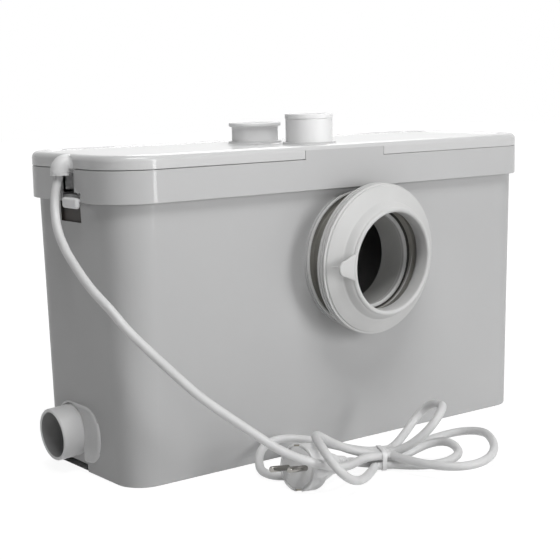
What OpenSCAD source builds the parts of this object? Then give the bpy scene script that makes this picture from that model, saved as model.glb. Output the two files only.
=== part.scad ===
// Macerator toilet pump: a moulded tank with a skirted upper casing and a top cover,
// a rubber toilet sleeve on the front, a waste spigot on the left end, a vent and a
// discharge spigot on top, a vertical macerating pump inside and a tied mains cord.
// Millimetres, +Z up, front is -Y, origin on the floor at the middle of the tank.

/* [Casing] */
// Length of the upper casing over its skirt
casing_l = 455; // [430:1:480]
// Depth of the upper casing over its skirt
casing_d = 158; // [152:1:176]
// Plan corner radius of the upper casing
casing_r = 38; // [32:1:46]
// Height of the top cover above the floor
top_z = 260; // [256:1:275]
// Height of the casing from the skirt's lower edge to the top of the cover
skirt_h = 37; // [34:0.5:44]
// Height of the top cover's lip
lip_h = 11; // [9:0.5:12]
// Wall of the casing and the cover
casing_t = 2.5; // [2:0.1:3]
// Rounding of the cover's top edge
top_round = 5; // [3:0.5:6]
// Height of the space between the deck and the cover for the electrics
deck_room = 28; // [28:0.5:32]

/* [Tank] */
// How far the casing stands out over the tank's wall
overhang = 5; // [4.5:0.5:7]
// Wall of the tank
tank_t = 3; // [2.5:0.1:4]
// Inset of each end of the tank at the floor
draft_x = 7; // [3:0.5:9]
// Inset of the front and back of the tank at the floor
draft_y = 4; // [2:0.5:5]
// Corner radius of the tank at the floor
tank_r_low = 24; // [20:1:28]
// Height of the foot rim under the tank's floor
foot_h = 7; // [6.5:0.5:7.5]
// Height of the notch in the foot rim under the waste spigot
foot_notch = 6; // [4:0.5:6]

/* [Toilet inlet] */
// Offset of the toilet inlet from the middle of the tank
inlet_x = 15; // [0:1:30]
// Height of the toilet inlet above the floor
inlet_z = 162; // [150:1:165]
// Bore of the toilet inlet collar
inlet_d = 90; // [84:1:94]
// Diameter of the sleeve over its ring
sleeve_d = 127; // [122:1:130]
// Bore of the sleeve's mouth
mouth_d = 83; // [78:1:86]
// How far the sleeve stands out from the tank
sleeve_out = 44; // [40:1:50]

/* [Waste spigot] */
// Offset of the waste spigot behind the middle of the end wall
side_y = 20; // [16:1:22]
// Height of the waste spigot above the floor
side_z = 33; // [33:0.5:36]
// Outside diameter of the waste spigot
side_d = 43; // [40:0.5:44]
// Wall of the waste spigot
side_t = 2.8; // [2.4:0.1:3.4]
// How far the waste spigot stands out from its pad
side_out = 18; // [15:1:24]
// Opening angle of both non-return flaps
flap_open = 50; // [40:1:55]

/* [Top spigots] */
// Offset of the vent spigot from the middle
vent_x = -14; // [-20:1:0]
// Distance of the vent spigot's axis from the casing's front
vent_in = 35; // [33:1:37]
// Outside diameter of the vent spigot
vent_d = 40; // [36:0.5:40]
// Height of the vent spigot above the cover
vent_h = 25; // [20:1:30]
// Outside diameter of the discharge spigot
out_d = 40.5; // [38:0.5:41]
// Diameter of the bead on the discharge spigot
bead_d = 45.5; // [44:0.5:48]
// Height of the discharge spigot above the cover
out_h = 17.5; // [16:0.5:22]

/* [Pump and motor] */
// Offset of the motor's axis from the middle of the tank
pump_x = -98; // [-102:1:-98]
// Distance from the motor's axis to the riser
riser_gap = 68; // [68:1:74]
// Offset of the riser behind the motor's axis
riser_y = 12; // [8:1:14]
// Outside diameter of the motor's can
motor_d = 90; // [88:1:92]
// Diameter of the shaft
shaft_d = 10; // [9:0.5:11]
// Diameter of the impeller
impeller_d = 72; // [66:1:74]
// Diameter swept by the cutter blade
cutter_d = 76; // [70:1:78]
// Length of the stator pack
stack_h = 65; // [55:1:68]

/* [Level switch] */
// Offset of the level tube from the middle of the tank
level_x = 150; // [140:1:160]
// Offset of the level tube behind the long axis
level_y = 15; // [5:1:20]
// Outside diameter of the level tube
level_d = 40; // [36:1:42]
// Travel of the switch plunger
switch_travel = 1.5; // [1:0.1:1.6]

/* [Mains cord] */
// Diameter of the cord
cord_d = 7; // [6.6:0.1:7.2]
// Offset of the cord hood on the end wall
hood_y = -7; // [-9:1:-5]
// Outside diameter of the cord hood
hood_d = 15; // [14:0.5:15.5]
// Diameter of the plug's round face
plug_d = 37; // [36:0.5:37.5]
// Distance between the plug's pins
pin_pitch = 19; // [18.6:0.1:19.4]
// Diameter of the plug's pins
pin_d = 4.8; // [4:0.1:4.9]

/* [Fits] */
// Radial clearance of a running fit
run_gap = 0.05; // [0.02:0.01:0.09]
// Radial clearance of a slip fit
slip_gap = 0.2; // [0.15:0.05:0.3]
// Clearance between neighbouring parts
part_gap = 0.3; // [0.3:0.05:0.4]
// Visible seam between the cover's lip and the casing
seam = 0.7; // [0.5:0.1:1]

/* [Hidden] */
$fn = 64;
eps = 0.01;
skirt_z = top_z - skirt_h;
lip_z = top_z - lip_h;
cover_t = 2.5;
dish = 0.8;
cover_under = top_z - dish - cover_t;
deck_t = 3;
deck_z = top_z - deck_room - deck_t;
deck_top = deck_z + deck_t;
seal_t = 1;
tank_top = deck_z - seal_t;
tank_l = casing_l - 2 * overhang;
tank_d = casing_d - 2 * overhang;
tank_r = casing_r - overhang;
floor_t = 3;
floor_z = foot_h + floor_t;
end_x = -casing_l / 2;

// toilet inlet
wall_y = -tank_d / 2 + draft_y * (1 - inlet_z / tank_top);
collar_t = 3;
collar_r = inlet_d / 2 + collar_t;
collar_out = 15;
cuff_in = 14;
mouth_r = mouth_d / 2;
sleeve_r = sleeve_d / 2;
sleeve_bore = collar_r + slip_gap;
flange_r = sleeve_r - 5;
seat_y = -tank_d / 2 - 0.3;

// waste spigot
side_r = side_d / 2;
side_bore = side_r - side_t;
shank_r = side_r + 0.3;
pad_x = -(tank_l / 2 - draft_x + draft_x * 58 / tank_top) - 1.4;
pad_in = pad_x + 7.7;
side_mouth = pad_x - side_out;
seal_w = 1.5;
side_flange = pad_in + seal_w;
seat_x = side_flange + 6.5;
flap_t = 2.5;
side_hinge_x = seat_x + part_gap + flap_t / 2;
side_hinge_z = side_z + side_r + 4.5;
hinge_r = 1.5;
barrel_r = 3.2;

// pump stack on the motor's axis
strainer_h = 19;
volute_z = floor_z + strainer_h;
volute_r = impeller_d / 2 + 9;
strainer_r = volute_r;
volute_h = 28;
pump_cover_z = volute_z + volute_h;
pump_cover_h = 5;
hub_r = shaft_d;
hub_h = 8;
cutter_gap = 6;
can_z = pump_cover_z + pump_cover_h;
can_r = motor_d / 2;
can_t = 2.5;
end_cap_h = 6;
mount_ring_h = 19;
end_cap_z = deck_z - mount_ring_h - end_cap_h;
shaft_r = shaft_d / 2;
bearing_r = 15;
bearing_h = 10;
bearing_low_z = can_z + 11;
bearing_up_z = end_cap_z - bearing_h;
stack_z = bearing_low_z + bearing_h + 18;
winding_h = 14;
rotor_r = 23.8;
air_gap = 0.4;
duct_r = 12.5;
duct_z = volute_z + volute_h - duct_r - 0.5;
duct_bore = 9.5;

// vent
vent_y = -casing_d / 2 + vent_in;
vent_r = vent_d / 2;
vent_bore = vent_r - 3;
vent_mouth = vent_r - 2.5;
vent_flange = 2.5;
filter_h = 36;
grille_h = 2.5;
grille_z = deck_top + vent_flange + filter_h;

// riser and discharge
riser_x = pump_x + riser_gap;
riser_r = 15;
riser_bore = 12;
out_r = out_d / 2;
out_bore = 16.5;
valve_r = 25;
valve_bore = 21;
valve_seat = 4;
valve_top = cover_under - 3.2;
out_hinge_y = riser_y + 16;
out_flap_z = deck_top + valve_seat + part_gap;
out_hinge_z = out_flap_z + 3;
out_barrel_r = 2.5;

// level switch
level_r = level_d / 2;
level_bore = level_r - 2.5;
base_h = 8;
skin_t = 1.5;
dome_z = deck_top + base_h + skin_t;
dome_h = 7.5;
dome_r = 26;
stem_r = 3;
stem_top = dome_z + dome_h + 1;

// capacitor on the deck
cap_r = 11;
cap_l = 60;
cap_x = level_x - dome_r - cap_l + 6;
cap_y = level_y - dome_r - 24;
cap_z = deck_top + cap_r + 1;
saddle_w = 4;

// cord hood on the end wall
hood_r = hood_d / 2;
hood_z = top_z - hood_r - 2;
hood_bend = hood_r + 1;
hood_out = -3;
exit_x = end_x - hood_out - hood_bend;
exit_z = hood_z - hood_bend;
entry = 6;

// tie, loops and plug on the floor in front of the tank
tie_at = [-30, -150];
tie_turn = -27;
tie_l = 4;
tie_t = 1;
tie_grip = 0.4;
row_low = 5.2;
row_high = 13.2;
pitch = 8;
neck = 7;
ring_n = 24;
cord_r = cord_d / 2;
plug_body_l = 42;
plug_roll = -10;
groove_d = 2.2;
groove_w = 7;

// screws that hold the casing on the tank, and the motor under the deck
boss_at = concat(
    [for (x = [-1, 1], y = [-1, 1]) [x * (tank_l / 2 - 16), y * (tank_d / 2 - 16)]],
    [for (x = [-90, 90], y = [-1, 1]) [x, y * (tank_d / 2 - 8)]]);
motor_screw_at = [for (a = [45:90:315]) [pump_x + can_r * cos(a), can_r * sin(a)]];
boss_r = 7;
boss_h = 32;
screw_r = 2;
screw_gap = 0.1;
deck_screw_l = deck_t + seal_t + 20;

// front tongue, cord channel, locating rim and cord clip of the upper casing
tongue_x0 = -46;
tongue_x1 = 39.5;
tongue_h = 7;
channel_w = 22;
channel_in = 5;
rim_in = casing_t + part_gap;
rim_t = 2;
clip_y = hood_y - 8.5;
clip_w = 23;
clip_up = 7;
clip_down = 4;

// Rounded rectangle of straight sides and true arcs
module rr(l, d, r) {
    square([l - 2 * r, d], center = true);
    square([l, d - 2 * r], center = true);
    for (x = [-1, 1], y = [-1, 1])
        translate([x * (l / 2 - r), y * (d / 2 - r)])
            circle(r);
}

// Casing outline drawn in by a distance
module outline(inset) {
    rr(casing_l - 2 * inset, casing_d - 2 * inset, casing_r - inset);
}

// Slab whose top edge is rounded over
module soft_slab(h, f) {
    linear_extrude(h - f)
        outline(0);
    linear_extrude(h)
        outline(f);
    for (x = [-1, 1], y = [-1, 1])
        translate([x * (casing_l / 2 - casing_r), y * (casing_d / 2 - casing_r), h - f])
            rotate_extrude()
                translate([casing_r - f, 0])
                    circle(f);
    for (s = [-1, 1]) {
        translate([0, s * (casing_d / 2 - f), h - f])
            rotate([0, 90, 0])
                cylinder(r = f, h = casing_l - 2 * casing_r, center = true);
        translate([s * (casing_l / 2 - f), 0, h - f])
            rotate([90, 0, 0])
                cylinder(r = f, h = casing_d - 2 * casing_r, center = true);
    }
}

// Ring about the Z axis
module ring(r_out, r_in, h) {
    difference() {
        cylinder(r = r_out, h = h);
        translate([0, 0, -1])
            cylinder(r = r_in, h = h + 2);
    }
}

// Drafted solid of the tank between two heights, drawn in by a distance
module tank_shape(inset, z0, z1) {
    hull()
        for (z = [z0, z1]) {
            k = 1 - z / tank_top;
            translate([0, 0, z])
                linear_extrude(eps)
                    rr(tank_l - 2 * draft_x * k - 2 * inset, tank_d - 2 * draft_y * k - 2 * inset,
                        tank_r - (tank_r - tank_r_low) * k - inset, $fn = 32);
        }
}

// Frame of a piece that stands out of the left end: local z runs to the left
module on_end(x, y, z) {
    translate([x, y, z])
        rotate([0, -90, 0])
            children();
}

module tank() {
    color("#d9d9d6")
        difference() {
            union() {
                difference() {
                    tank_shape(0, 0, tank_top - eps);
                    tank_shape(tank_t, floor_z, tank_top + 1);
                    tank_shape(tank_t, -1, foot_h - eps);
                }
                // ribs under the floor
                translate([0, 0, foot_h / 2])
                    cube([tank_l - 2 * draft_x - 3, 3, foot_h + eps], center = true);
                for (x = [-110, 0, 110])
                    translate([x, 0, foot_h / 2])
                        cube([3, tank_d - 2 * draft_y - 3, foot_h + eps], center = true);
                // collar and flat seat of the toilet sleeve
                translate([inlet_x, wall_y + tank_t, inlet_z])
                    rotate([90, 0, 0]) {
                        cylinder(r = collar_r, h = wall_y + tank_t - seat_y + collar_out);
                        cylinder(r = flange_r + 1, h = wall_y + tank_t - seat_y);
                    }
                // pad of the waste spigot, outside and inside the end wall
                translate([pad_x, side_y - 10, side_z])
                    rotate([90, 0, 90])
                        linear_extrude(5)
                            rr(70, 48, 22);
                translate([pad_x + 2, side_y - 29, foot_h])
                    cube([pad_in - pad_x - 2, 58, side_z + 29 - foot_h]);
                for (p = boss_at)
                    translate([p[0], p[1], tank_top - boss_h])
                        cylinder(r = boss_r, h = boss_h);
            }
            translate([inlet_x, 0, inlet_z])
                rotate([90, 0, 0])
                    cylinder(r = inlet_d / 2, h = casing_d);
            on_end(pad_in + 1, side_y, side_z)
                cylinder(r = shank_r + slip_gap, h = 20);
            for (p = boss_at)
                translate([p[0], p[1], deck_top - deck_screw_l - 5])
                    cylinder(r = screw_r + screw_gap, h = 30);
            // seat of the sleeve ends at the tank's rim
            translate([-casing_l, -casing_d, tank_top])
                cube([2 * casing_l, 2 * casing_d, 20]);
            // notch in the foot rim
            translate([-tank_l / 2, 2, -1])
                cube([tank_t + draft_x + 3, 46, foot_notch + 1]);
        }
}

// Hole of the cord hood's root, in both casing mouldings
module hood_hole() {
    on_end(end_x + 14, hood_y, hood_z)
        cylinder(r = hood_r + part_gap, h = 16);
}

module upper_casing() {
    color("#dededb")
        difference() {
            union() {
                difference() {
                    translate([0, 0, skirt_z])
                        linear_extrude(lip_z - seam - skirt_z)
                            outline(0);
                    translate([0, 0, skirt_z - 1])
                        linear_extrude(deck_z - skirt_z + 1)
                            outline(casing_t);
                    translate([0, 0, deck_top])
                        linear_extrude(lip_z - deck_top)
                            outline(casing_t);
                    // cord channel and the clip's cut-out in the skirt
                    translate([end_x - 1, hood_y - channel_w / 2, skirt_z - 1])
                        cube([channel_in + 1, channel_w, hood_z - skirt_z + 1]);
                    translate([end_x - 1, clip_y - clip_w / 2 - part_gap, skirt_z - 1])
                        cube([channel_in + 1, clip_w + 2 * part_gap, clip_up + part_gap + 1]);
                }
                // floor of the cord channel
                translate([end_x + channel_in, hood_y - channel_w / 2 - 3, deck_z])
                    cube([2, channel_w + 6, lip_z - seam - deck_z]);
                // rim that locates the cover
                difference() {
                    translate([0, 0, deck_top - eps])
                        linear_extrude(lip_z - seam - deck_top)
                            difference() {
                                outline(casing_t - 0.5);
                                outline(rim_in + rim_t);
                            }
                    translate([end_x - 1, hood_y - channel_w / 2, skirt_z])
                        cube([channel_in + 1, channel_w, skirt_h]);
                }
                translate([0, 0, lip_z - seam - eps])
                    linear_extrude(cover_under - part_gap - lip_z + seam)
                        difference() {
                            outline(rim_in);
                            outline(rim_in + rim_t);
                        }
                // tongue that fills the notch in the front of the cover's lip
                translate([tongue_x0, -casing_d / 2, lip_z - seam - eps])
                    cube([tongue_x1 - tongue_x0, rim_in + 0.5, tongue_h + seam]);
                translate([pump_x, 0, deck_z - mount_ring_h])
                    ring(can_r + 5, can_r - 5, mount_ring_h + eps);
                // saddles of the capacitor
                for (x = [cap_x + cap_l / 6, cap_x + 5 * cap_l / 6 - saddle_w])
                    translate([x, cap_y - cap_r, deck_top - eps])
                        difference() {
                            cube([saddle_w, 2 * cap_r, 0.7 * cap_r]);
                            translate([-1, cap_r, cap_z - deck_top + eps])
                                rotate([0, 90, 0])
                                    cylinder(r = cap_r, h = saddle_w + 2);
                        }
            }
            hood_hole();
            translate([riser_x, riser_y, deck_z - 1])
                cylinder(r = riser_r + slip_gap, h = deck_t + 2);
            translate([vent_x, vent_y, deck_z - 1])
                cylinder(r = vent_bore - 4, h = deck_t + 2);
            translate([level_x, level_y, deck_z - 1])
                cylinder(r = level_bore, h = deck_t + 2);
            for (p = concat(boss_at, motor_screw_at))
                translate([p[0], p[1], deck_z - mount_ring_h - 1])
                    cylinder(r = screw_r + screw_gap, h = mount_ring_h + deck_t + 2);
        }
}

module top_cover() {
    color("#e4e4e2")
        difference() {
            union() {
                difference() {
                    translate([0, 0, lip_z])
                        soft_slab(lip_h, top_round);
                    translate([0, 0, lip_z - 1])
                        linear_extrude(cover_under - lip_z + 1)
                            outline(casing_t);
                    translate([0, 0, top_z - dish])
                        linear_extrude(dish + 1)
                            outline(12);
                }
                // raised collars round the two spigots
                translate([vent_x, vent_y, cover_under])
                    cylinder(r = vent_r + 2.5, h = top_z + 1.4 - cover_under);
                translate([riser_x, riser_y, cover_under])
                    cylinder(r = out_r + 3, h = top_z + 1.4 - cover_under);
            }
            translate([vent_x, vent_y, cover_under - 1])
                cylinder(r = vent_r + slip_gap, h = 10);
            translate([riser_x, riser_y, cover_under - 1])
                cylinder(r = out_r + slip_gap, h = 10);
            translate([tongue_x0 - seam, -casing_d / 2 - 1, lip_z - 1])
                cube([tongue_x1 - tongue_x0 + 2 * seam, casing_t + 2, tongue_h + seam + 1]);
            hood_hole();
        }
}

module lid_seal() {
    color("#2b2b2b")
        translate([0, 0, tank_top])
            linear_extrude(seal_t)
                difference() {
                    outline(overhang + 0.4);
                    outline(overhang + tank_t - 0.2);
                }
}

// Half profile of the toilet sleeve: radius against the distance from the tank's seat
module sleeve_profile() {
    neck_r = sleeve_bore + 3.8;
    s_ring = collar_out + 5;
    s_round = s_ring + 6;
    s_lip = sleeve_out - 3;
    s_face = s_lip - 6;
    lip_r = mouth_r + 8.5;
    cuff_r = inlet_d / 2 - part_gap;
    difference() {
        union() {
            square([flange_r, 2.5]);
            square([neck_r, s_ring + 1]);
            // ring, cone from the ring to the foot of the lip, and the lip
            polygon([[0, s_ring], [sleeve_r, s_ring], [sleeve_r, s_round], [lip_r, s_face],
                [mouth_r + 4.5, s_lip], [0, s_lip]]);
            for (s = [1, 3.6])
                translate([sleeve_r - 1, s_ring + s])
                    square([1.8, 1.2]);
            translate([mouth_r + 2, s_lip])
                circle(2.5);
        }
        // room for the tank's collar, round the inner cuff
        translate([0, -1])
            square([sleeve_bore, collar_out + part_gap + 1]);
        square([inlet_d / 2 - 1, s_ring + 5]);
        translate([0, s_ring + 3])
            square([sleeve_r - 10.5, s_face - s_ring - 8]);
        square([mouth_r, sleeve_out + 5]);
    }
    // cuff inside the collar
    translate([cuff_r - 4.7, -cuff_in])
        square([4.7, cuff_in + collar_out + part_gap + 1.5]);
}

module toilet_sleeve() {
    tab_l = 20;
    tab_h = 19;
    color("#f0f0ee")
        difference() {
            translate([inlet_x, seat_y, inlet_z])
                rotate([90, 0, 0]) {
                    rotate_extrude($fn = 96)
                        sleeve_profile();
                    // pull tab at the mouth's left
                    translate([-mouth_r - 2, -5, sleeve_out - 5])
                        linear_extrude(3) {
                            translate([-tab_l + tab_h / 2, 0])
                                circle(tab_h / 2);
                            translate([-tab_l + tab_h / 2, -tab_h / 2])
                                square([tab_l - tab_h / 2, tab_h]);
                        }
                }
            // flat under the skirt
            translate([inlet_x - 50, seat_y - 8, skirt_z - part_gap])
                cube([100, 20, 20]);
        }
}

module side_spigot() {
    ear_w = 4;
    ear_y = 11;
    ear_low = 2.5;
    color("#cfcfcc")
        difference() {
            union() {
                on_end(seat_x, side_y, side_z)
                    cylinder(r = side_r, h = seat_x - side_mouth);
                on_end(side_flange + 3.5, side_y, side_z)
                    cylinder(r = side_r + 5.5, h = 3.5);
                on_end(side_flange + 1, side_y, side_z)
                    cylinder(r = shank_r, h = side_flange + 1 - pad_x);
                for (s = [-1, 1])
                    translate([side_flange, side_y + s * (ear_y + ear_w / 2) - ear_w / 2,
                        side_z + side_r - ear_low])
                        cube([side_hinge_x + barrel_r - side_flange, ear_w, ear_low + 4.5 + barrel_r]);
            }
            on_end(seat_x + 1, side_y, side_z)
                cylinder(r = side_bore, h = seat_x - side_mouth + 2);
            translate([side_hinge_x, side_y, side_hinge_z])
                rotate([90, 0, 0])
                    cylinder(r = hinge_r + run_gap, h = 60, center = true);
            // flat of the flange over the tank's floor
            translate([side_flange - 1, side_y - 40, floor_z + part_gap - 20])
                cube([7, 80, 20]);
            // room for the flap between the ears
            translate([seat_x, side_y - ear_y, side_z])
                cube([20, 2 * ear_y, side_r + 12]);
        }
}

module side_seal() {
    color("#2b2b2b")
        difference() {
            on_end(side_flange, side_y, side_z)
                ring(side_r + 5.5, shank_r + slip_gap, seal_w);
            translate([pad_in - 1, side_y - 40, floor_z + part_gap - 20])
                cube([7, 80, 20]);
        }
}

module side_flap() {
    color("#3a3a3a")
        difference() {
            union() {
                on_end(seat_x + part_gap + flap_t, side_y, side_z)
                    cylinder(r = side_r - 1, h = flap_t);
                translate([seat_x + part_gap, side_y - 8, side_z + side_r - 6])
                    cube([flap_t, 16, side_hinge_z - side_z - side_r + 6]);
                translate([side_hinge_x, side_y, side_hinge_z])
                    rotate([90, 0, 0])
                        cylinder(r = barrel_r, h = 21.2, center = true);
            }
            translate([side_hinge_x, side_y, side_hinge_z])
                rotate([90, 0, 0])
                    cylinder(r = hinge_r + run_gap, h = 60, center = true);
        }
}

module side_flap_pin() {
    color("#b8bcc0")
        translate([side_hinge_x, side_y, side_hinge_z])
            rotate([90, 0, 0])
                cylinder(r = hinge_r, h = 30, center = true);
}

module vent_spigot() {
    color("#d4d4d1")
        translate([vent_x, vent_y, 0])
            difference() {
                union() {
                    translate([0, 0, deck_top])
                        cylinder(r = vent_r, h = top_z + vent_h - deck_top);
                    translate([0, 0, deck_top])
                        cylinder(r = vent_r + 3, h = vent_flange);
                    translate([0, 0, top_z + vent_h - 4])
                        cylinder(r = vent_r + 0.5, h = 4);
                }
                translate([0, 0, deck_top + vent_flange])
                    cylinder(r = vent_bore, h = 100);
                translate([0, 0, grille_z + grille_h])
                    cylinder(r = vent_mouth, h = 100);
                translate([0, 0, deck_top - 1])
                    cylinder(r = vent_bore - 4, h = 10);
            }
}

module vent_filter() {
    color("#26282a")
        translate([vent_x, vent_y, deck_top + vent_flange])
            cylinder(r = vent_bore - slip_gap, h = filter_h);
}

module vent_grille() {
    color("#c9c9c6")
        translate([vent_x, vent_y, grille_z])
            difference() {
                cylinder(r = vent_bore - slip_gap, h = grille_h);
                for (a = [0:45:315])
                    rotate([0, 0, a])
                        translate([0.56 * vent_bore, 0, -1])
                            cylinder(r = 2.6, h = grille_h + 2);
                translate([0, 0, -1])
                    cylinder(r = 3.5, h = grille_h + 2);
            }
}

// Axis of the discharge flap's hinge
module out_hinge(r, h) {
    translate([riser_x, out_hinge_y, out_hinge_z])
        rotate([0, 90, 0])
            cylinder(r = r, h = h, center = true);
}

module valve_body() {
    ear_x = 5.3;
    ear_w = 2.7;
    color("#cfcfcc")
        difference() {
            union() {
                translate([riser_x, riser_y, deck_top])
                    difference() {
                        cylinder(r = valve_r, h = valve_top - deck_top);
                        translate([0, 0, valve_seat])
                            cylinder(r = valve_bore, h = 60);
                    }
                for (s = [-1, 1])
                    translate([riser_x + s * (ear_x + ear_w / 2) - ear_w / 2, out_hinge_y - 2.4,
                        deck_top + 1])
                        cube([ear_w, 4.8, out_hinge_z + 2.5 - deck_top - 1]);
            }
            translate([riser_x, riser_y, deck_top - 1])
                cylinder(r = riser_bore, h = 20);
            out_hinge(hinge_r + run_gap - 0.3, 2 * (ear_x + ear_w));
        }
}

module discharge_spigot() {
    color("#d4d4d1")
        translate([riser_x, riser_y, 0])
            difference() {
                union() {
                    translate([0, 0, valve_top])
                        cylinder(r = out_r, h = top_z + out_h - valve_top);
                    translate([0, 0, valve_top])
                        cylinder(r = valve_r, h = cover_under - part_gap - valve_top);
                    translate([0, 0, top_z + out_h - 4])
                        cylinder(r = bead_d / 2, h = 4);
                }
                translate([0, 0, valve_top - 1])
                    cylinder(r = out_bore, h = 60);
            }
}

module discharge_flap() {
    color("#3a3a3a")
        difference() {
            union() {
                translate([riser_x, riser_y, out_flap_z])
                    cylinder(r = riser_bore + 1, h = flap_t);
                translate([riser_x - 4, riser_y + 10, out_flap_z])
                    cube([8, out_hinge_y - riser_y - 10, flap_t]);
                out_hinge(out_barrel_r, 10);
            }
            out_hinge(hinge_r + run_gap - 0.3, 40);
        }
}

module discharge_flap_pin() {
    color("#b8bcc0")
        out_hinge(hinge_r - 0.3, 16);
}

module riser_pipe() {
    color("#c4c4c1")
        translate([riser_x, riser_y, 0])
            difference() {
                translate([0, 0, duct_z - riser_r - 3])
                    cylinder(r = riser_r, h = deck_top - duct_z + riser_r + 3);
                translate([0, 0, duct_z - riser_r])
                    cylinder(r = riser_bore, h = 300);
                translate([0, 0, duct_z])
                    rotate([0, -90, 0])
                        cylinder(r = duct_r + slip_gap, h = 30);
            }
}

module volute() {
    color("#5c6064")
        translate([pump_x, 0, volute_z])
            difference() {
                union() {
                    cylinder(r = volute_r, h = volute_h);
                    translate([impeller_d / 2 - 2, riser_y, duct_z - volute_z])
                        rotate([0, 90, 0])
                            cylinder(r = duct_r, h = riser_gap - impeller_d / 2 + 2 - riser_bore + 1.5);
                }
                translate([0, 0, 4])
                    cylinder(r = impeller_d / 2 + 4, h = volute_h);
                translate([0, 0, -1])
                    cylinder(r = 17, h = 10);
                translate([0, riser_y, duct_z - volute_z])
                    rotate([0, 90, 0])
                        cylinder(r = duct_bore, h = riser_gap);
            }
}

module pump_cover() {
    color("#6a6e72")
        translate([pump_x, 0, pump_cover_z])
            ring(volute_r, 12, pump_cover_h);
}

module strainer_ring() {
    color("#8d9196")
        translate([pump_x, 0, floor_z])
            difference() {
                ring(strainer_r, strainer_r - 3.5, strainer_h);
                for (a = [0:15:345])
                    rotate([0, 0, a])
                        translate([strainer_r - 8, -2.5, 3])
                            cube([12, 5, strainer_h - 6]);
            }
}

module cutter_blade() {
    color("#aeb3b8")
        translate([pump_x, 0, floor_z + cutter_gap])
            difference() {
                union() {
                    cylinder(r = hub_r, h = hub_h);
                    for (a = [0, 180])
                        rotate([0, 0, a])
                            intersection() {
                                translate([0, -6, 1])
                                    cube([cutter_d, 12, 5]);
                                cylinder(r = cutter_d / 2, h = 10);
                            }
                }
                translate([0, 0, -1])
                    cylinder(r = shaft_r, h = hub_h + 4);
            }
}

module impeller() {
    color("#44484c")
        translate([pump_x, 0, volute_z])
            difference() {
                union() {
                    translate([0, 0, 18])
                        cylinder(r = impeller_d / 2, h = 3);
                    translate([0, 0, 7])
                        cylinder(r = hub_r, h = 15);
                    for (a = [0:60:300])
                        rotate([0, 0, a])
                            translate([8, -1.5, 7])
                                cube([impeller_d / 2 - 10, 3, 12]);
                }
                cylinder(r = shaft_r, h = 30);
            }
}

module shaft_seal() {
    color("#202020")
        translate([pump_x, 0, pump_cover_z + 0.5])
            ring(12, shaft_r + run_gap, 9);
}

module shaft() {
    color("#c2c6ca")
        translate([pump_x, 0, floor_z + 4])
            cylinder(r = shaft_r, h = end_cap_z + 2 - floor_z - 4);
}

module rotor_core() {
    color("#7d8084")
        translate([pump_x, 0, stack_z])
            ring(rotor_r, shaft_r, stack_h);
}

module stator() {
    color("#85888c")
        translate([pump_x, 0, stack_z])
            ring(can_r - can_t, rotor_r + air_gap, stack_h);
}

module stator_windings() {
    color("#b36a2e")
        for (z = [stack_z - winding_h, stack_z + stack_h])
            translate([pump_x, 0, z])
                ring(can_r - can_t - 3, rotor_r + 2.2, winding_h);
}

module bearing_lower() {
    color("#b4b8bc")
        translate([pump_x, 0, bearing_low_z])
            ring(bearing_r, shaft_r + run_gap, bearing_h);
}

module bearing_upper() {
    color("#b4b8bc")
        translate([pump_x, 0, bearing_up_z])
            ring(bearing_r, shaft_r + run_gap, bearing_h);
}

module motor_housing() {
    color("#9a9ea2")
        translate([pump_x, 0, can_z]) {
            ring(can_r, can_r - can_t, end_cap_z - can_z);
            ring(can_r - can_t + eps, 12, 5);
            translate([0, 0, bearing_low_z - can_z])
                ring(can_r - can_t + eps, bearing_r, bearing_h);
        }
}

module motor_end_cap() {
    color("#8a8e92")
        translate([pump_x, 0, 0])
            difference() {
                union() {
                    translate([0, 0, end_cap_z])
                        cylinder(r = can_r + 5, h = end_cap_h);
                    translate([0, 0, bearing_up_z])
                        ring(bearing_r + 5, bearing_r, bearing_h + eps);
                }
                translate([0, 0, end_cap_z - 1])
                    cylinder(r = shaft_r + 1, h = 4);
                for (p = motor_screw_at)
                    translate([p[0] - pump_x, p[1], end_cap_z - 1])
                        cylinder(r = screw_r + screw_gap, h = end_cap_h + 2);
            }
}

// Pan-headed screw: head on the plane z = 0, shank below it
module screw(l) {
    translate([0, 0, -l])
        cylinder(r = screw_r, h = l + eps);
    difference() {
        cylinder(r = 2 * screw_r, h = 2.6);
        for (a = [0, 90])
            rotate([0, 0, a])
                translate([0, 0, 2.1])
                    cube([4.4, 0.9, 1.4], center = true);
    }
}

module motor_screws() {
    color("#c9ccd0")
        for (p = motor_screw_at)
            translate([p[0], p[1], deck_top])
                screw(deck_top - end_cap_z - 0.5);
}

module deck_screws() {
    color("#c9ccd0")
        for (p = boss_at)
            translate([p[0], p[1], deck_top])
                screw(deck_screw_l);
}

module level_tube() {
    color("#c4c4c1")
        translate([level_x, level_y, 30])
            ring(level_r, level_bore, deck_z - 30);
}

module switch_base() {
    color("#d0d0cd")
        translate([level_x, level_y, deck_top])
            ring(dome_r, level_bore, base_h);
}

module diaphragm() {
    color("#2a2a2a")
        translate([level_x, level_y, deck_top + base_h])
            cylinder(r = dome_r - 1, h = skin_t);
}

module diaphragm_cover() {
    color("#d0d0cd")
        translate([level_x, level_y, dome_z])
            difference() {
                union() {
                    cylinder(r = dome_r, h = dome_h);
                    for (s = [-1, 1])
                        translate([s * 13.5 - 1.5, -6, dome_h - eps])
                            cube([3, 12, 6]);
                }
                translate([0, 0, -1])
                    cylinder(r = dome_r - 4, h = dome_h - 1.5);
                cylinder(r = stem_r + run_gap, h = 20);
            }
}

module switch_plunger() {
    color("#e0e0dc")
        translate([level_x, level_y, dome_z + part_gap]) {
            cylinder(r = 12, h = 2);
            cylinder(r = stem_r, h = stem_top - dome_z - part_gap);
        }
}

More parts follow.
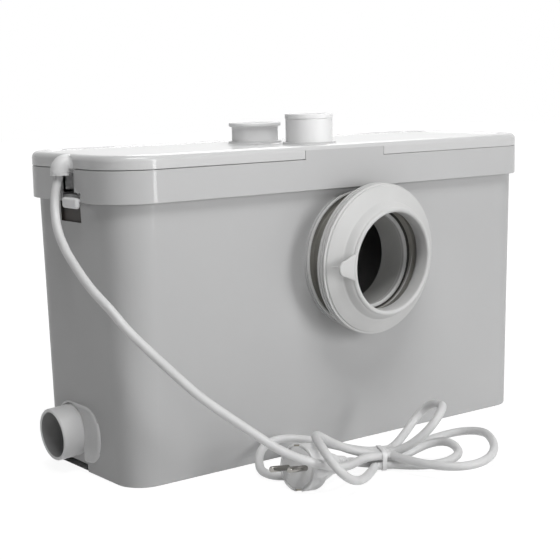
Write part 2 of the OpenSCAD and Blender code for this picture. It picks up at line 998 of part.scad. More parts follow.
module microswitch() {
    color("#1f2224")
        translate([level_x, level_y, stem_top + 1.6])
            difference() {
                translate([-12, -5, 0])
                    cube([24, 10, cover_under - 0.5 - stem_top - 1.6]);
                translate([0, 0, -1])
                    cylinder(r = 1.5 + run_gap, h = 4);
            }
}

module microswitch_button() {
    color("#c0392b")
        translate([level_x, level_y, stem_top + 0.1])
            cylinder(r = 1.5, h = 2.4);
}

module capacitor() {
    color("#d6d8da")
        translate([cap_x, cap_y, cap_z])
            rotate([0, 90, 0]) {
                cylinder(r = cap_r, h = cap_l);
                translate([0, 0, cap_l - eps])
                    cylinder(r = 0.55 * cap_r, h = 4);
            }
}

module terminal_block() {
    color("#e2ddd0")
        translate([end_x + 42, hood_y - 12, deck_top])
            difference() {
                cube([34, 24, 22]);
                for (i = [0:2])
                    translate([7 + 10 * i, 12, 17])
                        cylinder(r = 2.4, h = 6);
            }
}

module inner_lead() {
    color("#d8d8d5")
        on_end(end_x + 42, hood_y, hood_z)
            cylinder(r = cord_r, h = 42 - 7);
}

module cord_hood() {
    rib_r = hood_r + 0.5;
    color("#ececea")
        difference() {
            union() {
                on_end(end_x + 7, hood_y, hood_z)
                    cylinder(r = hood_r, h = 7 + hood_out);
                translate([end_x - hood_out, hood_y, exit_z])
                    rotate([90, 0, 0])
                        rotate([0, 0, 90]) {
                            rotate_extrude(angle = 90)
                                translate([hood_bend, 0])
                                    circle(hood_r);
                            for (a = [66, 76, 86])
                                rotate([0, 0, a])
                                    rotate_extrude(angle = 4)
                                        translate([hood_bend, 0])
                                            circle(rib_r);
                        }
            }
            translate([exit_x, hood_y, exit_z - 1])
                cylinder(r = cord_r + part_gap, h = entry + 1);
        }
}

module cord_clip() {
    out = 4;
    lip_t = out + 0.5;
    depth = out + channel_in;
    tall = clip_up + clip_down;
    color("#dededb")
        translate([end_x - out, clip_y + clip_w / 2, skirt_z - clip_down])
            rotate([90, 0, 0])
                difference() {
                    linear_extrude(clip_w) {
                        translate([2, 0])
                            square([lip_t - 2, tall]);
                        translate([0, 2])
                            square([lip_t, tall - 2]);
                        translate([2, 2])
                            circle(2);
                        translate([0, clip_down + 0.5])
                            square([depth, clip_up - 0.5]);
                    }
                    translate([2, clip_down + 2, 3])
                        cube([depth - 4, 20, clip_w - 6]);
                }
}

// Frames carried along a route without twist: [point, side, up] for each ring
function unit(v) = v / norm(v);
function tangents(p) = [for (i = [0:len(p) - 1])
    unit(p[min(i + 1, len(p) - 1)] - p[max(i - 1, 0)])];
function sides(t) = [for (i = 0, s = unit(cross(t[0], abs(t[0][2]) > 0.9 ? [1, 0, 0] : [0, 0, 1]));
    i < len(t);
    i = i + 1, s = i < len(t) ? unit(s - (s * t[i]) * t[i]) : s) s];

// Tube of n sides and given radius along a route, closed at both ends, of triangles
module tube(p, r, n) {
    t = tangents(p);
    s = sides(t);
    m = len(p);
    points = [for (i = [0:m - 1], j = [0:n - 1])
        let (a = 360 * j / n)
            p[i] + r * (cos(a) * s[i] + sin(a) * cross(t[i], s[i]))];
    faces = concat(
        [for (j = [1:n - 2]) [0, j + 1, j]],
        [for (i = [0:m - 2], j = [0:n - 1])
            [i * n + j, i * n + (j + 1) % n, (i + 1) * n + j]],
        [for (i = [0:m - 2], j = [0:n - 1])
            [i * n + (j + 1) % n, (i + 1) * n + (j + 1) % n, (i + 1) * n + j]],
        [for (j = [1:n - 2]) [(m - 1) * n, (m - 1) * n + j, (m - 1) * n + j + 1]]);
    polyhedron(points = points, faces = faces);
}

// Point in the tie's frame: along the strands, across them to the back, up
function at_tie(p) = [
    tie_at[0] + p[0] * cos(tie_turn) - p[1] * sin(tie_turn),
    tie_at[1] + p[0] * sin(tie_turn) + p[1] * cos(tie_turn),
    p[2]];

// Passes of the cord through the tie, in the order in which the cord takes them
front_high = [-pitch, row_high];
back_low = [pitch, row_low];
back_high = [pitch, row_high];
mid_high = [0, row_high];
front_low = [-pitch, row_low];
mid_low = [0, row_low];

// Loops: side, pass out, pass back, reach, spread out, spread back, tip shift, waist
LOOPS = [
    [1, front_high, back_low, 92, [-50, -2], [40, -2], [27, 6], 0.8],
    [-1, back_low, back_high, 92, [-18, -2], [36, 9], [-6, -2], 2],
    [1, back_high, mid_high, 47, [26, 1], [-16, 7], [8, 33], 1.7],
    [-1, mid_high, front_low, 56, [6, 3], [-45, -5], [-40, 33], 1.1],
    [1, front_low, mid_low, 56, [-15, -1], [16, 5], [0, 8], 1.6]];

// Drop-shaped loop: leaves the tie along its axis, widens, turns and comes back beside itself
function loop(q, n) = [for (i = [0:n])
    let (
        t = 360 * i / n,
        k = (1 - cos(t)) / 2,
        u = i / n,
        h = u * u * (3 - 2 * u),
        top = atan(sqrt(q[7] + 1)),
        peak = 2 * pow(sin(top), q[7] + 1) * cos(top),
        w = abs(sin(t)) * pow(max(sin(t / 2), 0), q[7]) / peak,
        spread = t < 180 ? q[4] : q[5],
        yz = q[1] + (q[2] - q[1]) * h + q[6] * k * k + spread * w)
    [q[0] * (neck + q[3] * k), yz[0], yz[1]]];

// Plug: middle of its face and end of its strain relief, in the tie's frame
plug_face = at_tie([-78, -42, 19]);
plug_end = at_tie([-33, -11, 11]);
plug_axis = unit(plug_end - plug_face);
plug_l = norm(plug_end - plug_face);
TAIL = [[-13, -1, 6], [-20, -3.5, 7.9]];

function hank_path(n) = concat(
    [at_tie([0, front_high[0], front_high[1]])],
    [for (q = LOOPS, p = loop(q, n)) at_tie(p)],
    [at_tie([0, mid_low[0], mid_low[1]]), at_tie([-neck, mid_low[0], mid_low[1]])],
    [for (p = TAIL) at_tie(p)],
    [plug_end + cord_d * plug_axis, plug_end]);

// Least distance between points of the hank that lie well apart along it
function length_at(p, i = 0, s = 0) = [for (j = i, d = s; j < len(p);
    d = d + (j + 1 < len(p) ? norm(p[j + 1] - p[j]) : 0), j = j + 1) d];
function least_gap(p, s) = min([for (i = [0:len(p) - 1], j = [i + 1:1:len(p) - 1])
    if (s[j] - s[i] > 5 * cord_d) norm(p[i] - p[j])]) - cord_d;

// Route of the cord from the hood down to the tie
ROUTE = [[exit_x, hood_y, exit_z + entry], [exit_x, hood_y, exit_z + 2],
    [exit_x, hood_y, exit_z - 1.5], [-235, -7.5, 235.5], [-238.7, -9.2, 228.5],
    [-241.7, -12.5, 219.5], [-246, -23, 205], [-248, -36, 192], [-248, -53, 178], [-246, -72, 163],
    [-241, -90, 149], [-235, -103, 135], [-226, -115, 121], [-215, -127, 106], [-206, -134, 95],
    [-197, -140, 85], [-179, -149, 69], [-161, -157, 54], [-150, -162, 45], [-140, -166, 38],
    [-131, -170, 33], [-122, -174, 29], [-111, -176, 25], [-98, -174, 20], [-85, -169, 17],
    [-72, -162, 14.5], [-61, -156, 13.4], [-50.5, -152.5, 13.2],
    at_tie([-neck, front_high[0], front_high[1]]), at_tie([0, front_high[0], front_high[1]])];

module cord_free() {
    color("#e6e6e4")
        tube(ROUTE, cord_r, 10);
}

module cord_hank() {
    fine = hank_path(96);
    along = length_at(fine);
    echo("hank length, mm", along[len(along) - 1]);
    echo("hank least gap, mm", least_gap(fine, along));
    color("#e6e6e4")
        tube(hank_path(ring_n), cord_r, 6);
}

module cord_tie() {
    mid = (row_low + row_high) / 2;
    w = 2 * pitch + cord_d - tie_grip;
    h = row_high - row_low + cord_d - tie_grip;
    color("#f2f2f2")
        translate([tie_at[0], tie_at[1], mid])
            rotate([0, 0, tie_turn])
                rotate([90, 0, 90])
                    linear_extrude(tie_l, center = true)
                        difference() {
                            rr(w + 2 * tie_t, h + 2 * tie_t, 4 + tie_t);
                            rr(w, h, 4);
                        }
}

// Frame of the plug: local z from its face to its cord, local x across the earth contacts
module at_plug() {
    translate(plug_face)
        rotate([0, acos(plug_axis[2]), atan2(plug_axis[1], plug_axis[0])])
            rotate([0, 0, plug_roll])
                children();
}

module plug_body() {
    r = plug_d / 2;
    color("#dcdcda")
        at_plug()
            difference() {
                rotate_extrude()
                    polygon([[0, 0], [r - 1.5, 0], [r, 1.5], [r, 16], [r - 2, 20], [11, 31],
                        [8.5, 36], [8, plug_body_l], [0, plug_body_l]]);
                for (s = [-1, 1])
                    translate([s * r - (s > 0 ? groove_d : 0) - (s < 0 ? 1 : 0), -groove_w / 2, -1])
                        cube([groove_d + 1, groove_w, 17]);
            }
}

module plug_pins() {
    color("#c8ccd0")
        at_plug()
            for (s = [-1, 1])
                translate([0, s * pin_pitch / 2, -19])
                    cylinder(r = pin_d / 2, h = 19);
}

module plug_contacts() {
    r = plug_d / 2;
    color("#c8b27a")
        at_plug()
            for (s = [-1, 1])
                translate([s * (r - groove_d) - (s < 0 ? 1.2 : 0), -3, 1])
                    cube([1.2, 6, 14.5]);
}

module plug_relief() {
    l = plug_l - plug_body_l;
    color("#dcdcda")
        at_plug()
            translate([0, 0, plug_body_l])
                rotate_extrude()
                    polygon(concat([[0, 0]],
                        [for (i = [0:3], q = [[0, 0], [2, 0], [2, -1.2], [3, -1.2]])
                            [6.6 - 0.3 * i + q[1], (i * 3 + q[0]) * l / 12]],
                        [[0, l]]));
}

// The assembly, or one piece of it
tank();
upper_casing();
top_cover();
lid_seal();
toilet_sleeve();
side_spigot();
side_seal();
side_flap();
side_flap_pin();
vent_spigot();
vent_filter();
vent_grille();
valve_body();
discharge_spigot();
discharge_flap();
discharge_flap_pin();
riser_pipe();
volute();
pump_cover();
strainer_ring();
cutter_blade();
impeller();
shaft_seal();
shaft();
rotor_core();
stator();
stator_windings();
bearing_lower();
bearing_upper();
motor_housing();
motor_end_cap();
motor_screws();
deck_screws();
level_tube();
switch_base();
diaphragm();
diaphragm_cover();
switch_plunger();
microswitch();
microswitch_button();
capacitor();
terminal_block();
inner_lead();
cord_hood();
cord_clip();
cord_free();
cord_hank();
cord_tie();
plug_relief();
plug_body();
plug_pins();
plug_contacts();
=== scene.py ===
import bpy
from math import acos, atan, atan2, cos, pi, radians, sin, sqrt
from mathutils import Euler, Matrix, Vector


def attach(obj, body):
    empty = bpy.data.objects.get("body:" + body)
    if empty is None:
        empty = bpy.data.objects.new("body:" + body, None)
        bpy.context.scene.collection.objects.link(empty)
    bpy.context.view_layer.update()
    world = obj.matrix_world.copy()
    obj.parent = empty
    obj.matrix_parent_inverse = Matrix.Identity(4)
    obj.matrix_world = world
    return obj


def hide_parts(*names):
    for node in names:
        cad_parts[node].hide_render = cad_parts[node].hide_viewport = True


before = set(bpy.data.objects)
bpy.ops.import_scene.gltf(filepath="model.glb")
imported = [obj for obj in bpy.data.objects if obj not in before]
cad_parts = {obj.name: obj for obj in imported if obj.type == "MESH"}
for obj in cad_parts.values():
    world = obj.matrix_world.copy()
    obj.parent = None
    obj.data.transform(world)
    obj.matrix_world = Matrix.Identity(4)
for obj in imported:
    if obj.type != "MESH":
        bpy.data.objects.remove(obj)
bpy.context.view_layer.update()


# Camera: stands in front of the pump's left end, a little above its lid,
# with a long lens, as the pump was photographed.
eye = (-0.718209, -0.916477, 0.312271)
pan, tilt, roll = radians(37.515), radians(8.621), radians(-1.140)
sensor_mm, lens_mm, nearest = 36, 84.13, 0.05
bpy.ops.object.select_all(action="DESELECT")
bpy.ops.object.camera_add(location=eye)
camera = bpy.context.object
camera.name = "camera"
level = Euler((0, 0, -pan)).to_matrix() @ Euler((pi / 2 - tilt, 0, 0)).to_matrix()
camera.rotation_euler = (level @ Euler((0, 0, roll)).to_matrix()).to_euler()
camera.data.sensor_width = sensor_mm
camera.data.lens = lens_mm
camera.data.clip_start = nearest
bpy.context.scene.camera = camera
bpy.context.scene.view_settings.view_transform = "Standard"


# Mains cord: 7 mm round flexible lead with a smooth pale grey sheath. It leaves the hood
# on the end wall, hangs down to the floor, is folded into loops held by a tie and ends in the plug.
def add_node(tree, kind, values=None, **settings):
    """Adds a node to a material, with its settings and the values of its inputs."""
    node = tree.nodes.new(kind)
    for key, value in settings.items():
        setattr(node, key, value)
    for key, value in (values or {}).items():
        node.inputs[key].default_value = value
    return node


def wire(tree, source, output, target, entry):
    """Links an output of one node to an input of another."""
    tree.links.new(source.outputs[output], target.inputs[entry])


def shade_by(tree, pattern, shades, places, rough):
    """Lets a pattern vary the colour between two shades and the gloss between two roughnesses."""
    shader = tree.nodes["Principled BSDF"]
    tint = add_node(tree, "ShaderNodeValToRGB")
    for stop, place, shade in zip(tint.color_ramp.elements, places, shades):
        stop.position, stop.color = place, (*shade, 1)
    wire(tree, pattern, "Fac", tint, "Fac")
    wire(tree, tint, "Color", shader, "Base Color")
    gloss = add_node(tree, "ShaderNodeMapRange", {"To Min": rough[0], "To Max": rough[1]})
    wire(tree, pattern, "Fac", gloss, "Value")
    wire(tree, gloss, "Result", shader, "Roughness")


def emboss(tree, pattern, strength, depth):
    """Lets a pattern raise and sink the surface a little."""
    bump = add_node(tree, "ShaderNodeBump", {"Strength": strength, "Distance": depth})
    wire(tree, pattern, "Fac", bump, "Height")
    wire(tree, bump, "Normal", tree.nodes["Principled BSDF"], "Normal")


def moulded(name, light, dark, patch, rough, grain, depth, shine=0.35, polish=0):
    """Plastic or rubber out of a mould: slight clouding of the colour, uneven gloss, fine grain."""
    finish = bpy.data.materials.new(name)
    finish.use_nodes = True
    tree = finish.node_tree
    place = add_node(tree, "ShaderNodeTexCoord")
    cloud = add_node(tree, "ShaderNodeTexNoise", {"Scale": patch, "Detail": 4})
    wire(tree, place, "Object", cloud, "Vector")
    shade_by(tree, cloud, (dark, light), (0.3, 0.7), rough)
    fine = add_node(tree, "ShaderNodeTexNoise", {"Scale": grain, "Detail": 2})
    wire(tree, place, "Object", fine, "Vector")
    emboss(tree, fine, 0.25, depth)
    for entry, value in (("Specular IOR Level", shine), ("Coat Weight", polish), ("Coat Roughness", 0.06)):
        tree.nodes["Principled BSDF"].inputs[entry].default_value = value
    return finish


def dress(piece, finish):
    """Gives the whole of a piece one finish."""
    piece.data.materials.clear()
    piece.data.materials.append(finish)


tie_x, tie_y, tie_turn = -0.030, -0.150, radians(-27)


def at_tie(a, b, z):
    """Point in the tie's own frame: along the strands, across them to the back, up."""
    return Vector((tie_x + a * cos(tie_turn) - b * sin(tie_turn),
                   tie_y + a * sin(tie_turn) + b * cos(tie_turn), z))


cord_d, mm = 0.007, 0.001
# under the tie: half the straight stretch, heights of the two layers, pitch of the strands
neck, low, high, pitch = 0.007, 0.0052, 0.0132, 0.008
# the free stretch, from the hood down to the tie, in mm
down = [(-233, -7, 250), (-233.8, -7, 245), (-235.8, -7.4, 238.5), (-238.6, -8.8, 231),
        (-240.8, -11, 223), (-243.2, -15.5, 214.5), (-246, -23, 205), (-248, -36, 192),
        (-248, -53, 178), (-246, -72, 163), (-241, -90, 149), (-235, -103, 135),
        (-226, -115, 121), (-215, -127, 106), (-206, -134, 95), (-197, -140, 85),
        (-179, -149, 69), (-161, -157, 54), (-150, -162, 45), (-140, -166, 38),
        (-131, -170, 33), (-122, -174, 29), (-111, -176, 25), (-98, -174, 20),
        (-85, -169, 17), (-72, -162, 14.5), (-61, -156, 13.4), (-50.5, -152.5, 13.2)]
path = [Vector(p) * mm for p in down] + [at_tie(-neck, -pitch, high), at_tie(0, -pitch, high)]
front_high, back_low, back_high = (-pitch, high), (pitch, low), (pitch, high)
mid_high, front_low, mid_low = (0, high), (-pitch, low), (0, low)
# side, pass out, pass back, reach, spread out, spread back, shift of the tip, waist
loops = [(1, front_high, back_low, 0.092, (-0.050, -0.002), (0.040, -0.002), (0.027, 0.006), 0.8),
         (-1, back_low, back_high, 0.092, (-0.018, -0.002), (0.036, 0.009), (-0.006, -0.002), 2),
         (1, back_high, mid_high, 0.047, (0.026, 0.001), (-0.016, 0.007), (0.008, 0.033), 1.7),
         (-1, mid_high, front_low, 0.056, (0.006, 0.003), (-0.045, -0.005), (-0.040, 0.033), 1.1),
         (1, front_low, mid_low, 0.056, (-0.015, -0.001), (0.016, 0.005), (0, 0.008), 1.6)]
knots = 30
for side, leave, back, reach, spread_out, spread_back, tip, waist in loops:
    widest = atan(sqrt(waist + 1))
    peak = 2 * sin(widest) ** (waist + 1) * cos(widest)
    for i in range(knots + 1):
        t = 2 * pi * i / knots
        # how far out to the tip, how far over from one pass to the other, how wide open
        far = (1 - cos(t)) / 2
        over = (i / knots) ** 2 * (3 - 2 * i / knots)
        wide = abs(sin(t)) * max(sin(t / 2), 0) ** waist / peak
        spread = spread_out if i < knots / 2 else spread_back
        b, z = [leave[n] + (back[n] - leave[n]) * over + tip[n] * far * far + spread[n] * wide
                for n in (0, 1)]
        path.append(at_tie(side * (neck + reach * far), b, z))
plug_face, plug_end = at_tie(-0.078, -0.042, 0.019), at_tie(-0.033, -0.011, 0.011)
plug_axis = (plug_end - plug_face).normalized()
path += [at_tie(0, 0, low), at_tie(-neck, 0, low), at_tie(-0.013, -0.001, 0.006),
         at_tie(-0.020, -0.0035, 0.0079), plug_end + cord_d * plug_axis, plug_end]
run = bpy.data.curves.new("mains_cord", "CURVE")
run.dimensions = "3D"
run.bevel_depth = cord_d / 2
run.bevel_resolution = run.resolution_u = 5
run.use_fill_caps = True
course = run.splines.new("BEZIER")
course.bezier_points.add(len(path) - 1)
for knot, spot in zip(course.bezier_points, path):
    knot.co = spot
    knot.handle_left_type = knot.handle_right_type = "AUTO"
mains_cord = bpy.data.objects.new("mains_cord", run)
bpy.context.scene.collection.objects.link(mains_cord)
cord_sheath = moulded("cord_sheath", (0.70, 0.70, 0.70), (0.645, 0.645, 0.647),
                      patch=60, rough=(0.34, 0.46), grain=1800, depth=0.00008)
dress(mains_cord, cord_sheath)
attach(mains_cord, "frame")
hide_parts("cord_free", "cord_hank")


# Cord tie: a thin white plastic strip, drawn tight round the six strands where the loops cross.
# It is modelled as a closed band.
def rounded_plate(name, length, depth, corner, z, segments=12):
    """A flat sheet with round corners, left in edit mode with all of it selected."""
    bpy.ops.object.select_all(action="DESELECT")
    bpy.ops.mesh.primitive_plane_add(size=1, enter_editmode=True)
    bpy.ops.mesh.select_mode(type="VERT")
    piece = bpy.context.object
    piece.name = piece.data.name = name
    bpy.ops.transform.resize(value=(length, depth, 1))
    bpy.ops.transform.translate(value=(0, 0, z))
    bpy.ops.mesh.bevel(offset=corner, segments=segments, affect="VERTICES")
    bpy.ops.mesh.select_all(action="SELECT")
    return piece


def pull(*way):
    """Draws the selection out along x, y and z."""
    bpy.ops.mesh.extrude_region_move(TRANSFORM_OT_translate={"value": way})


def face_out():
    """Turns all faces of the piece in edit mode to the outside."""
    bpy.ops.mesh.select_all(action="SELECT")
    bpy.ops.mesh.normals_make_consistent(inside=False)


def band(name, length, depth, corner, z, thickness, height, segments=12):
    """An upright strip along the outline of a plate."""
    piece = rounded_plate(name, length, depth, corner, z, segments)
    bpy.ops.mesh.inset(thickness=thickness)
    bpy.ops.mesh.delete(type="FACE")
    bpy.ops.mesh.select_all(action="SELECT")
    pull(0, 0, height)
    face_out()
    bpy.ops.object.mode_set(mode="OBJECT")
    return piece


def soften(piece, width, segments, angle=30):
    """Rounds the edges of the active piece that are sharper than an angle."""
    soft = piece.modifiers.new("round_edge", "BEVEL")
    soft.width, soft.segments = width, segments
    soft.limit_method, soft.angle_limit = "ANGLE", radians(angle)
    bpy.ops.object.modifier_apply(modifier="round_edge")


def settle(piece, angle=35, place=None, euler=(0, 0, 0)):
    """Leaves edit mode, puts the piece in its place and lets its faces flow up to an angle."""
    if bpy.context.object and bpy.context.object.mode == "EDIT":
        bpy.ops.object.mode_set(mode="OBJECT")
    bpy.ops.object.select_all(action="DESELECT")
    piece.select_set(True)
    bpy.context.view_layer.objects.active = piece
    if place is not None:
        piece.rotation_euler = euler
        piece.location = place
        bpy.ops.object.transform_apply(location=True, rotation=True, scale=True)
    bpy.ops.object.shade_smooth_by_angle(angle=radians(angle))
    return piece


tie_l, tie_h, tie_r, tie_z = 0.0247, 0.0167, 0.005, 0.0092
strip_t, strip_w = 0.0009, 0.0038
cord_tie = band("cord_tie", tie_l, tie_h, tie_r, -strip_w / 2, strip_t, strip_w)
soften(cord_tie, 0.0003, 2)
across = Euler((0, 0, tie_turn)).to_matrix() @ Euler((pi / 2, 0, pi / 2)).to_matrix()
settle(cord_tie, 40, (tie_x, tie_y, tie_z), across.to_euler())
dress(cord_tie, moulded("tie_strip", (0.80, 0.80, 0.80), (0.74, 0.74, 0.745),
                        patch=120, rough=(0.25, 0.4), grain=2200, depth=0.00005))
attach(cord_tie, "frame")
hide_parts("cord_tie")


# Plug: moulded on the cord in one piece with its ribbed strain relief. Round face with two
# nickel-plated pins and two earth contacts in grooves; the grip narrows towards the cord.
def turned(name, profile, steps=72):
    """Turns a half profile of (radius, height) pairs about the Z axis."""
    bpy.ops.object.select_all(action="DESELECT")
    bpy.ops.mesh.primitive_plane_add(size=0.001, enter_editmode=True)
    bpy.ops.mesh.select_mode(type="VERT")
    piece = bpy.context.object
    piece.name = piece.data.name = name
    bpy.ops.mesh.merge(type="CENTER")
    bpy.ops.transform.translate(value=(profile[0][0], 0, profile[0][1]))
    for (r0, h0), (r1, h1) in zip(profile, profile[1:]):
        bpy.ops.mesh.extrude_vertices_move(TRANSFORM_OT_translate={"value": (r1 - r0, 0, h1 - h0)})
    bpy.ops.mesh.select_all(action="SELECT")
    bpy.ops.mesh.spin(steps=steps, angle=2 * pi, center=(0, 0, 0), axis=(0, 0, 1))
    bpy.ops.mesh.select_all(action="SELECT")
    bpy.ops.mesh.remove_doubles(threshold=1e-6)
    bpy.ops.mesh.normals_make_consistent(inside=False)
    bpy.ops.object.mode_set(mode="OBJECT")
    return piece


def bent(middle, radius, start, end, count):
    """Points on an arc of a profile, from one angle to another, in degrees."""
    angles = [radians(start + (end - start) * i / count) for i in range(count + 1)]
    return [(middle[0] + radius * cos(a), middle[1] + radius * sin(a)) for a in angles]


def cut(piece, *tools):
    """Cuts other shapes out of a piece, one after the other."""
    for tool in tools:
        bpy.ops.object.select_all(action="DESELECT")
        bpy.context.view_layer.objects.active = piece
        piece.select_set(True)
        hollow = piece.modifiers.new("hollow", "BOOLEAN")
        hollow.operation, hollow.object, hollow.solver = "DIFFERENCE", tool, "EXACT"
        bpy.ops.object.modifier_apply(modifier="hollow")
        bpy.data.objects.remove(tool)
    return piece


def block(low_corner, high_corner):
    """A box between two corners, with its place in its mesh."""
    bpy.ops.object.select_all(action="DESELECT")
    bpy.ops.mesh.primitive_cube_add(size=1, enter_editmode=True)
    a, b = Vector(low_corner), Vector(high_corner)
    bpy.ops.transform.resize(value=b - a)
    bpy.ops.transform.translate(value=(a + b) / 2)
    bpy.ops.object.mode_set(mode="OBJECT")
    return bpy.context.object


plug_l = (plug_end - plug_face).length
plug_turn = Euler((0, acos(plug_axis.z), atan2(plug_axis.y, plug_axis.x))).to_matrix()
plug_turn = (plug_turn @ Matrix.Rotation(radians(-10), 3, "Z")).to_euler()
face_r, grip_l, beyond = 0.0185, 0.042, 0.03
grip = [(0, 0), (0.0155, 0), (0.0158, 0.0007), (0.0165, 0.0007), (0.0167, 0)]
grip += bent((face_r - 0.001, 0.001), 0.001, -90, 0, 4) + [(face_r, 0.0145)]
grip += bent((face_r - 0.002, 0.0148), 0.002, 0, 60, 4)
grip += [(0.0158, 0.0195), (0.0135, 0.0245), (0.0112, 0.0305), (0.0096, 0.0345),
         (0.0086, 0.038), (0.0081, 0.041), (0.0072, grip_l), (0, grip_l)]
plug_body = turned("plug_body", grip)
# grooves of the earth contacts
groove_r, groove_w, groove_l = 0.0163, 0.007, 0.0155
for x0, x1 in ((-beyond, -groove_r), (groove_r, beyond)):
    cut(plug_body, block((x0, -groove_w / 2, -0.001), (x1, groove_w / 2, groove_l)))
# flats for the fingers on both sides of the grip
flat_r, flat_w = 0.0155, 0.015
for y0, y1 in ((-beyond, -flat_r), (flat_r, beyond)):
    cut(plug_body, block((-flat_w / 2, y0, 0.012), (flat_w / 2, y1, 0.030)))
soften(plug_body, 0.0005, 2, 50)
settle(plug_body, 40, plug_face, plug_turn)

relief_l, rib_count, rib_depth, rib_edge = plug_l - grip_l, 5, 0.0014, 0.0003
rib_step = relief_l / rib_count
relief = [(0.0034, 0)]
for i in range(rib_count):
    wide, start, end = 0.0066 - 0.0003 * i, i * rib_step, (i + 0.6) * rib_step
    relief += [(wide - rib_edge, start), (wide, start + rib_edge), (wide, end - rib_edge),
               (wide - rib_edge, end), (wide - rib_depth, (i + 0.62) * rib_step),
               (wide - rib_depth, (i + 0.98) * rib_step)]
relief += [(0.0036, relief_l)]
plug_relief = turned("plug_relief", relief, 48)
settle(plug_relief, 40, plug_face + grip_l * plug_axis, plug_turn)

# pins, a little thicker over their front half
pin_r, pin_l, pin_pitch, nose_r, step_r = 0.0024, 0.019, 0.019, 0.0012, 0.0002
pin = [(0, -pin_l)] + bent((pin_r - nose_r, -pin_l + nose_r), nose_r, -90, 0, 6)
pin += [(pin_r, -0.009), (pin_r - step_r, -0.0088), (pin_r - step_r, 0), (0, 0)]
plug_pins = turned("plug_pins", pin, 40)
bpy.ops.object.mode_set(mode="EDIT")
bpy.ops.mesh.select_all(action="SELECT")
bpy.ops.transform.translate(value=(0, pin_pitch / 2, 0))
bpy.ops.mesh.duplicate_move(TRANSFORM_OT_translate={"value": (0, -pin_pitch, 0)})
settle(plug_pins, 40, plug_face, plug_turn)

contact_r, contact_w = 0.0175, 0.006
plug_contacts = block((groove_r, -contact_w / 2, 0.001), (contact_r, contact_w / 2, groove_l))
plug_contacts.name = plug_contacts.data.name = "plug_contacts"
bpy.ops.object.mode_set(mode="EDIT")
bpy.ops.mesh.select_all(action="SELECT")
bpy.ops.mesh.subdivide(number_cuts=5)
bpy.ops.mesh.duplicate_move(TRANSFORM_OT_translate={"value": (-groove_r - contact_r, 0, 0)})
bpy.ops.object.mode_set(mode="OBJECT")
soften(plug_contacts, 0.0002, 2)
settle(plug_contacts, 40, plug_face, plug_turn)


def plated(name, colour, rough, scratch):
    """Metal with fine drawn scratches and uneven polish."""
    finish = bpy.data.materials.new(name)
    finish.use_nodes = True
    tree = finish.node_tree
    tree.nodes["Principled BSDF"].inputs["Metallic"].default_value = 1.0
    place = add_node(tree, "ShaderNodeTexCoord")
    stretch = add_node(tree, "ShaderNodeMapping", {"Scale": scratch})
    wire(tree, place, "Object", stretch, "Vector")
    lines = add_node(tree, "ShaderNodeTexNoise", {"Scale": 40, "Detail": 6})
    wire(tree, stretch, "Vector", lines, "Vector")
    shade_by(tree, lines, ([0.82 * c for c in colour], colour), (0, 1), rough)
    emboss(tree, lines, 0.15, 0.0001)
    return finish


plug_skin = moulded("plug_skin", (0.78, 0.78, 0.78), (0.72, 0.72, 0.722),
                    patch=90, rough=(0.36, 0.5), grain=1500, depth=0.0001)
for piece in (plug_body, plug_relief):
    dress(piece, plug_skin)
dress(plug_pins, plated("nickel", (0.36, 0.35, 0.33), (0.12, 0.3), (1, 1, 8)))
dress(plug_contacts, plated("contact_strip", (0.30, 0.28, 0.24), (0.2, 0.38), (6, 1, 1)))
for piece, node in ((plug_body, "plug_body"), (plug_relief, "plug_relief"),
                    (plug_pins, "plug_pins"), (plug_contacts, "plug_contacts")):
    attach(piece, "frame")
    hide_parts(node)


# Tank: one large injection moulding of pale grey plastic, drafted so that it leaves the mould,
# with a foot rim, ribs under its floor, a seat and collar for the sleeve and a pad for the waste spigot.
def pick(piece, test, kind="VERT"):
    """Selects the vertices, edges or faces whose place passes a test; stays in edit mode."""
    bpy.ops.object.mode_set(mode="EDIT")
    bpy.ops.mesh.select_mode(type=kind)
    bpy.ops.mesh.select_all(action="DESELECT")
    bpy.ops.object.mode_set(mode="OBJECT")
    mesh = piece.data
    if kind == "VERT":
        for v in mesh.vertices:
            v.select = test(v.co)
    elif kind == "EDGE":
        for e in mesh.edges:
            a, b = (mesh.vertices[i].co for i in e.vertices)
            e.select = test(a) and test(b)
    else:
        for f in mesh.polygons:
            f.select = test(f.center)
    bpy.ops.object.mode_set(mode="EDIT")


def join(piece, *others):
    """Makes other shapes part of a piece."""
    bpy.ops.object.select_all(action="DESELECT")
    for other in others:
        other.select_set(True)
    piece.select_set(True)
    bpy.context.view_layer.objects.active = piece
    bpy.ops.object.join()
    return piece


def rod(radius, length, middle, euler=(0, 0, 0), sides=96):
    """A round bar about a middle point, with its place in its mesh."""
    bpy.ops.object.select_all(action="DESELECT")
    bpy.ops.mesh.primitive_cylinder_add(radius=radius, depth=length, vertices=sides,
                                        location=middle, rotation=euler)
    bpy.ops.object.transform_apply(location=True, rotation=True, scale=True)
    return bpy.context.object


def flatten(piece):
    """Keeps the broad walls flat up to the start of their rounded corners."""
    piece.modifiers.new("even", "WEIGHTED_NORMAL").keep_sharp = True
    bpy.ops.object.modifier_apply(modifier="even")


def paint(piece, finish, test):
    """Gives the faces whose middle passes a test a finish of their own."""
    piece.data.materials.append(finish)
    pick(piece, test, "FACE")
    piece.active_material_index = len(piece.data.materials) - 1
    bpy.ops.object.material_slot_assign()
    bpy.ops.object.mode_set(mode="OBJECT")


along_x, along_y = (0, pi / 2, 0), (pi / 2, 0, 0)
foot_l, foot_d, foot_r = 0.431, 0.140, 0.024
brim_l, brim_d, brim_r, tank_top = 0.445, 0.148, 0.033, 0.228
wall, foot_h, floor_z = 0.003, 0.007, 0.010
foot_corner = (foot_l / 2 - foot_r, foot_d / 2 - foot_r)
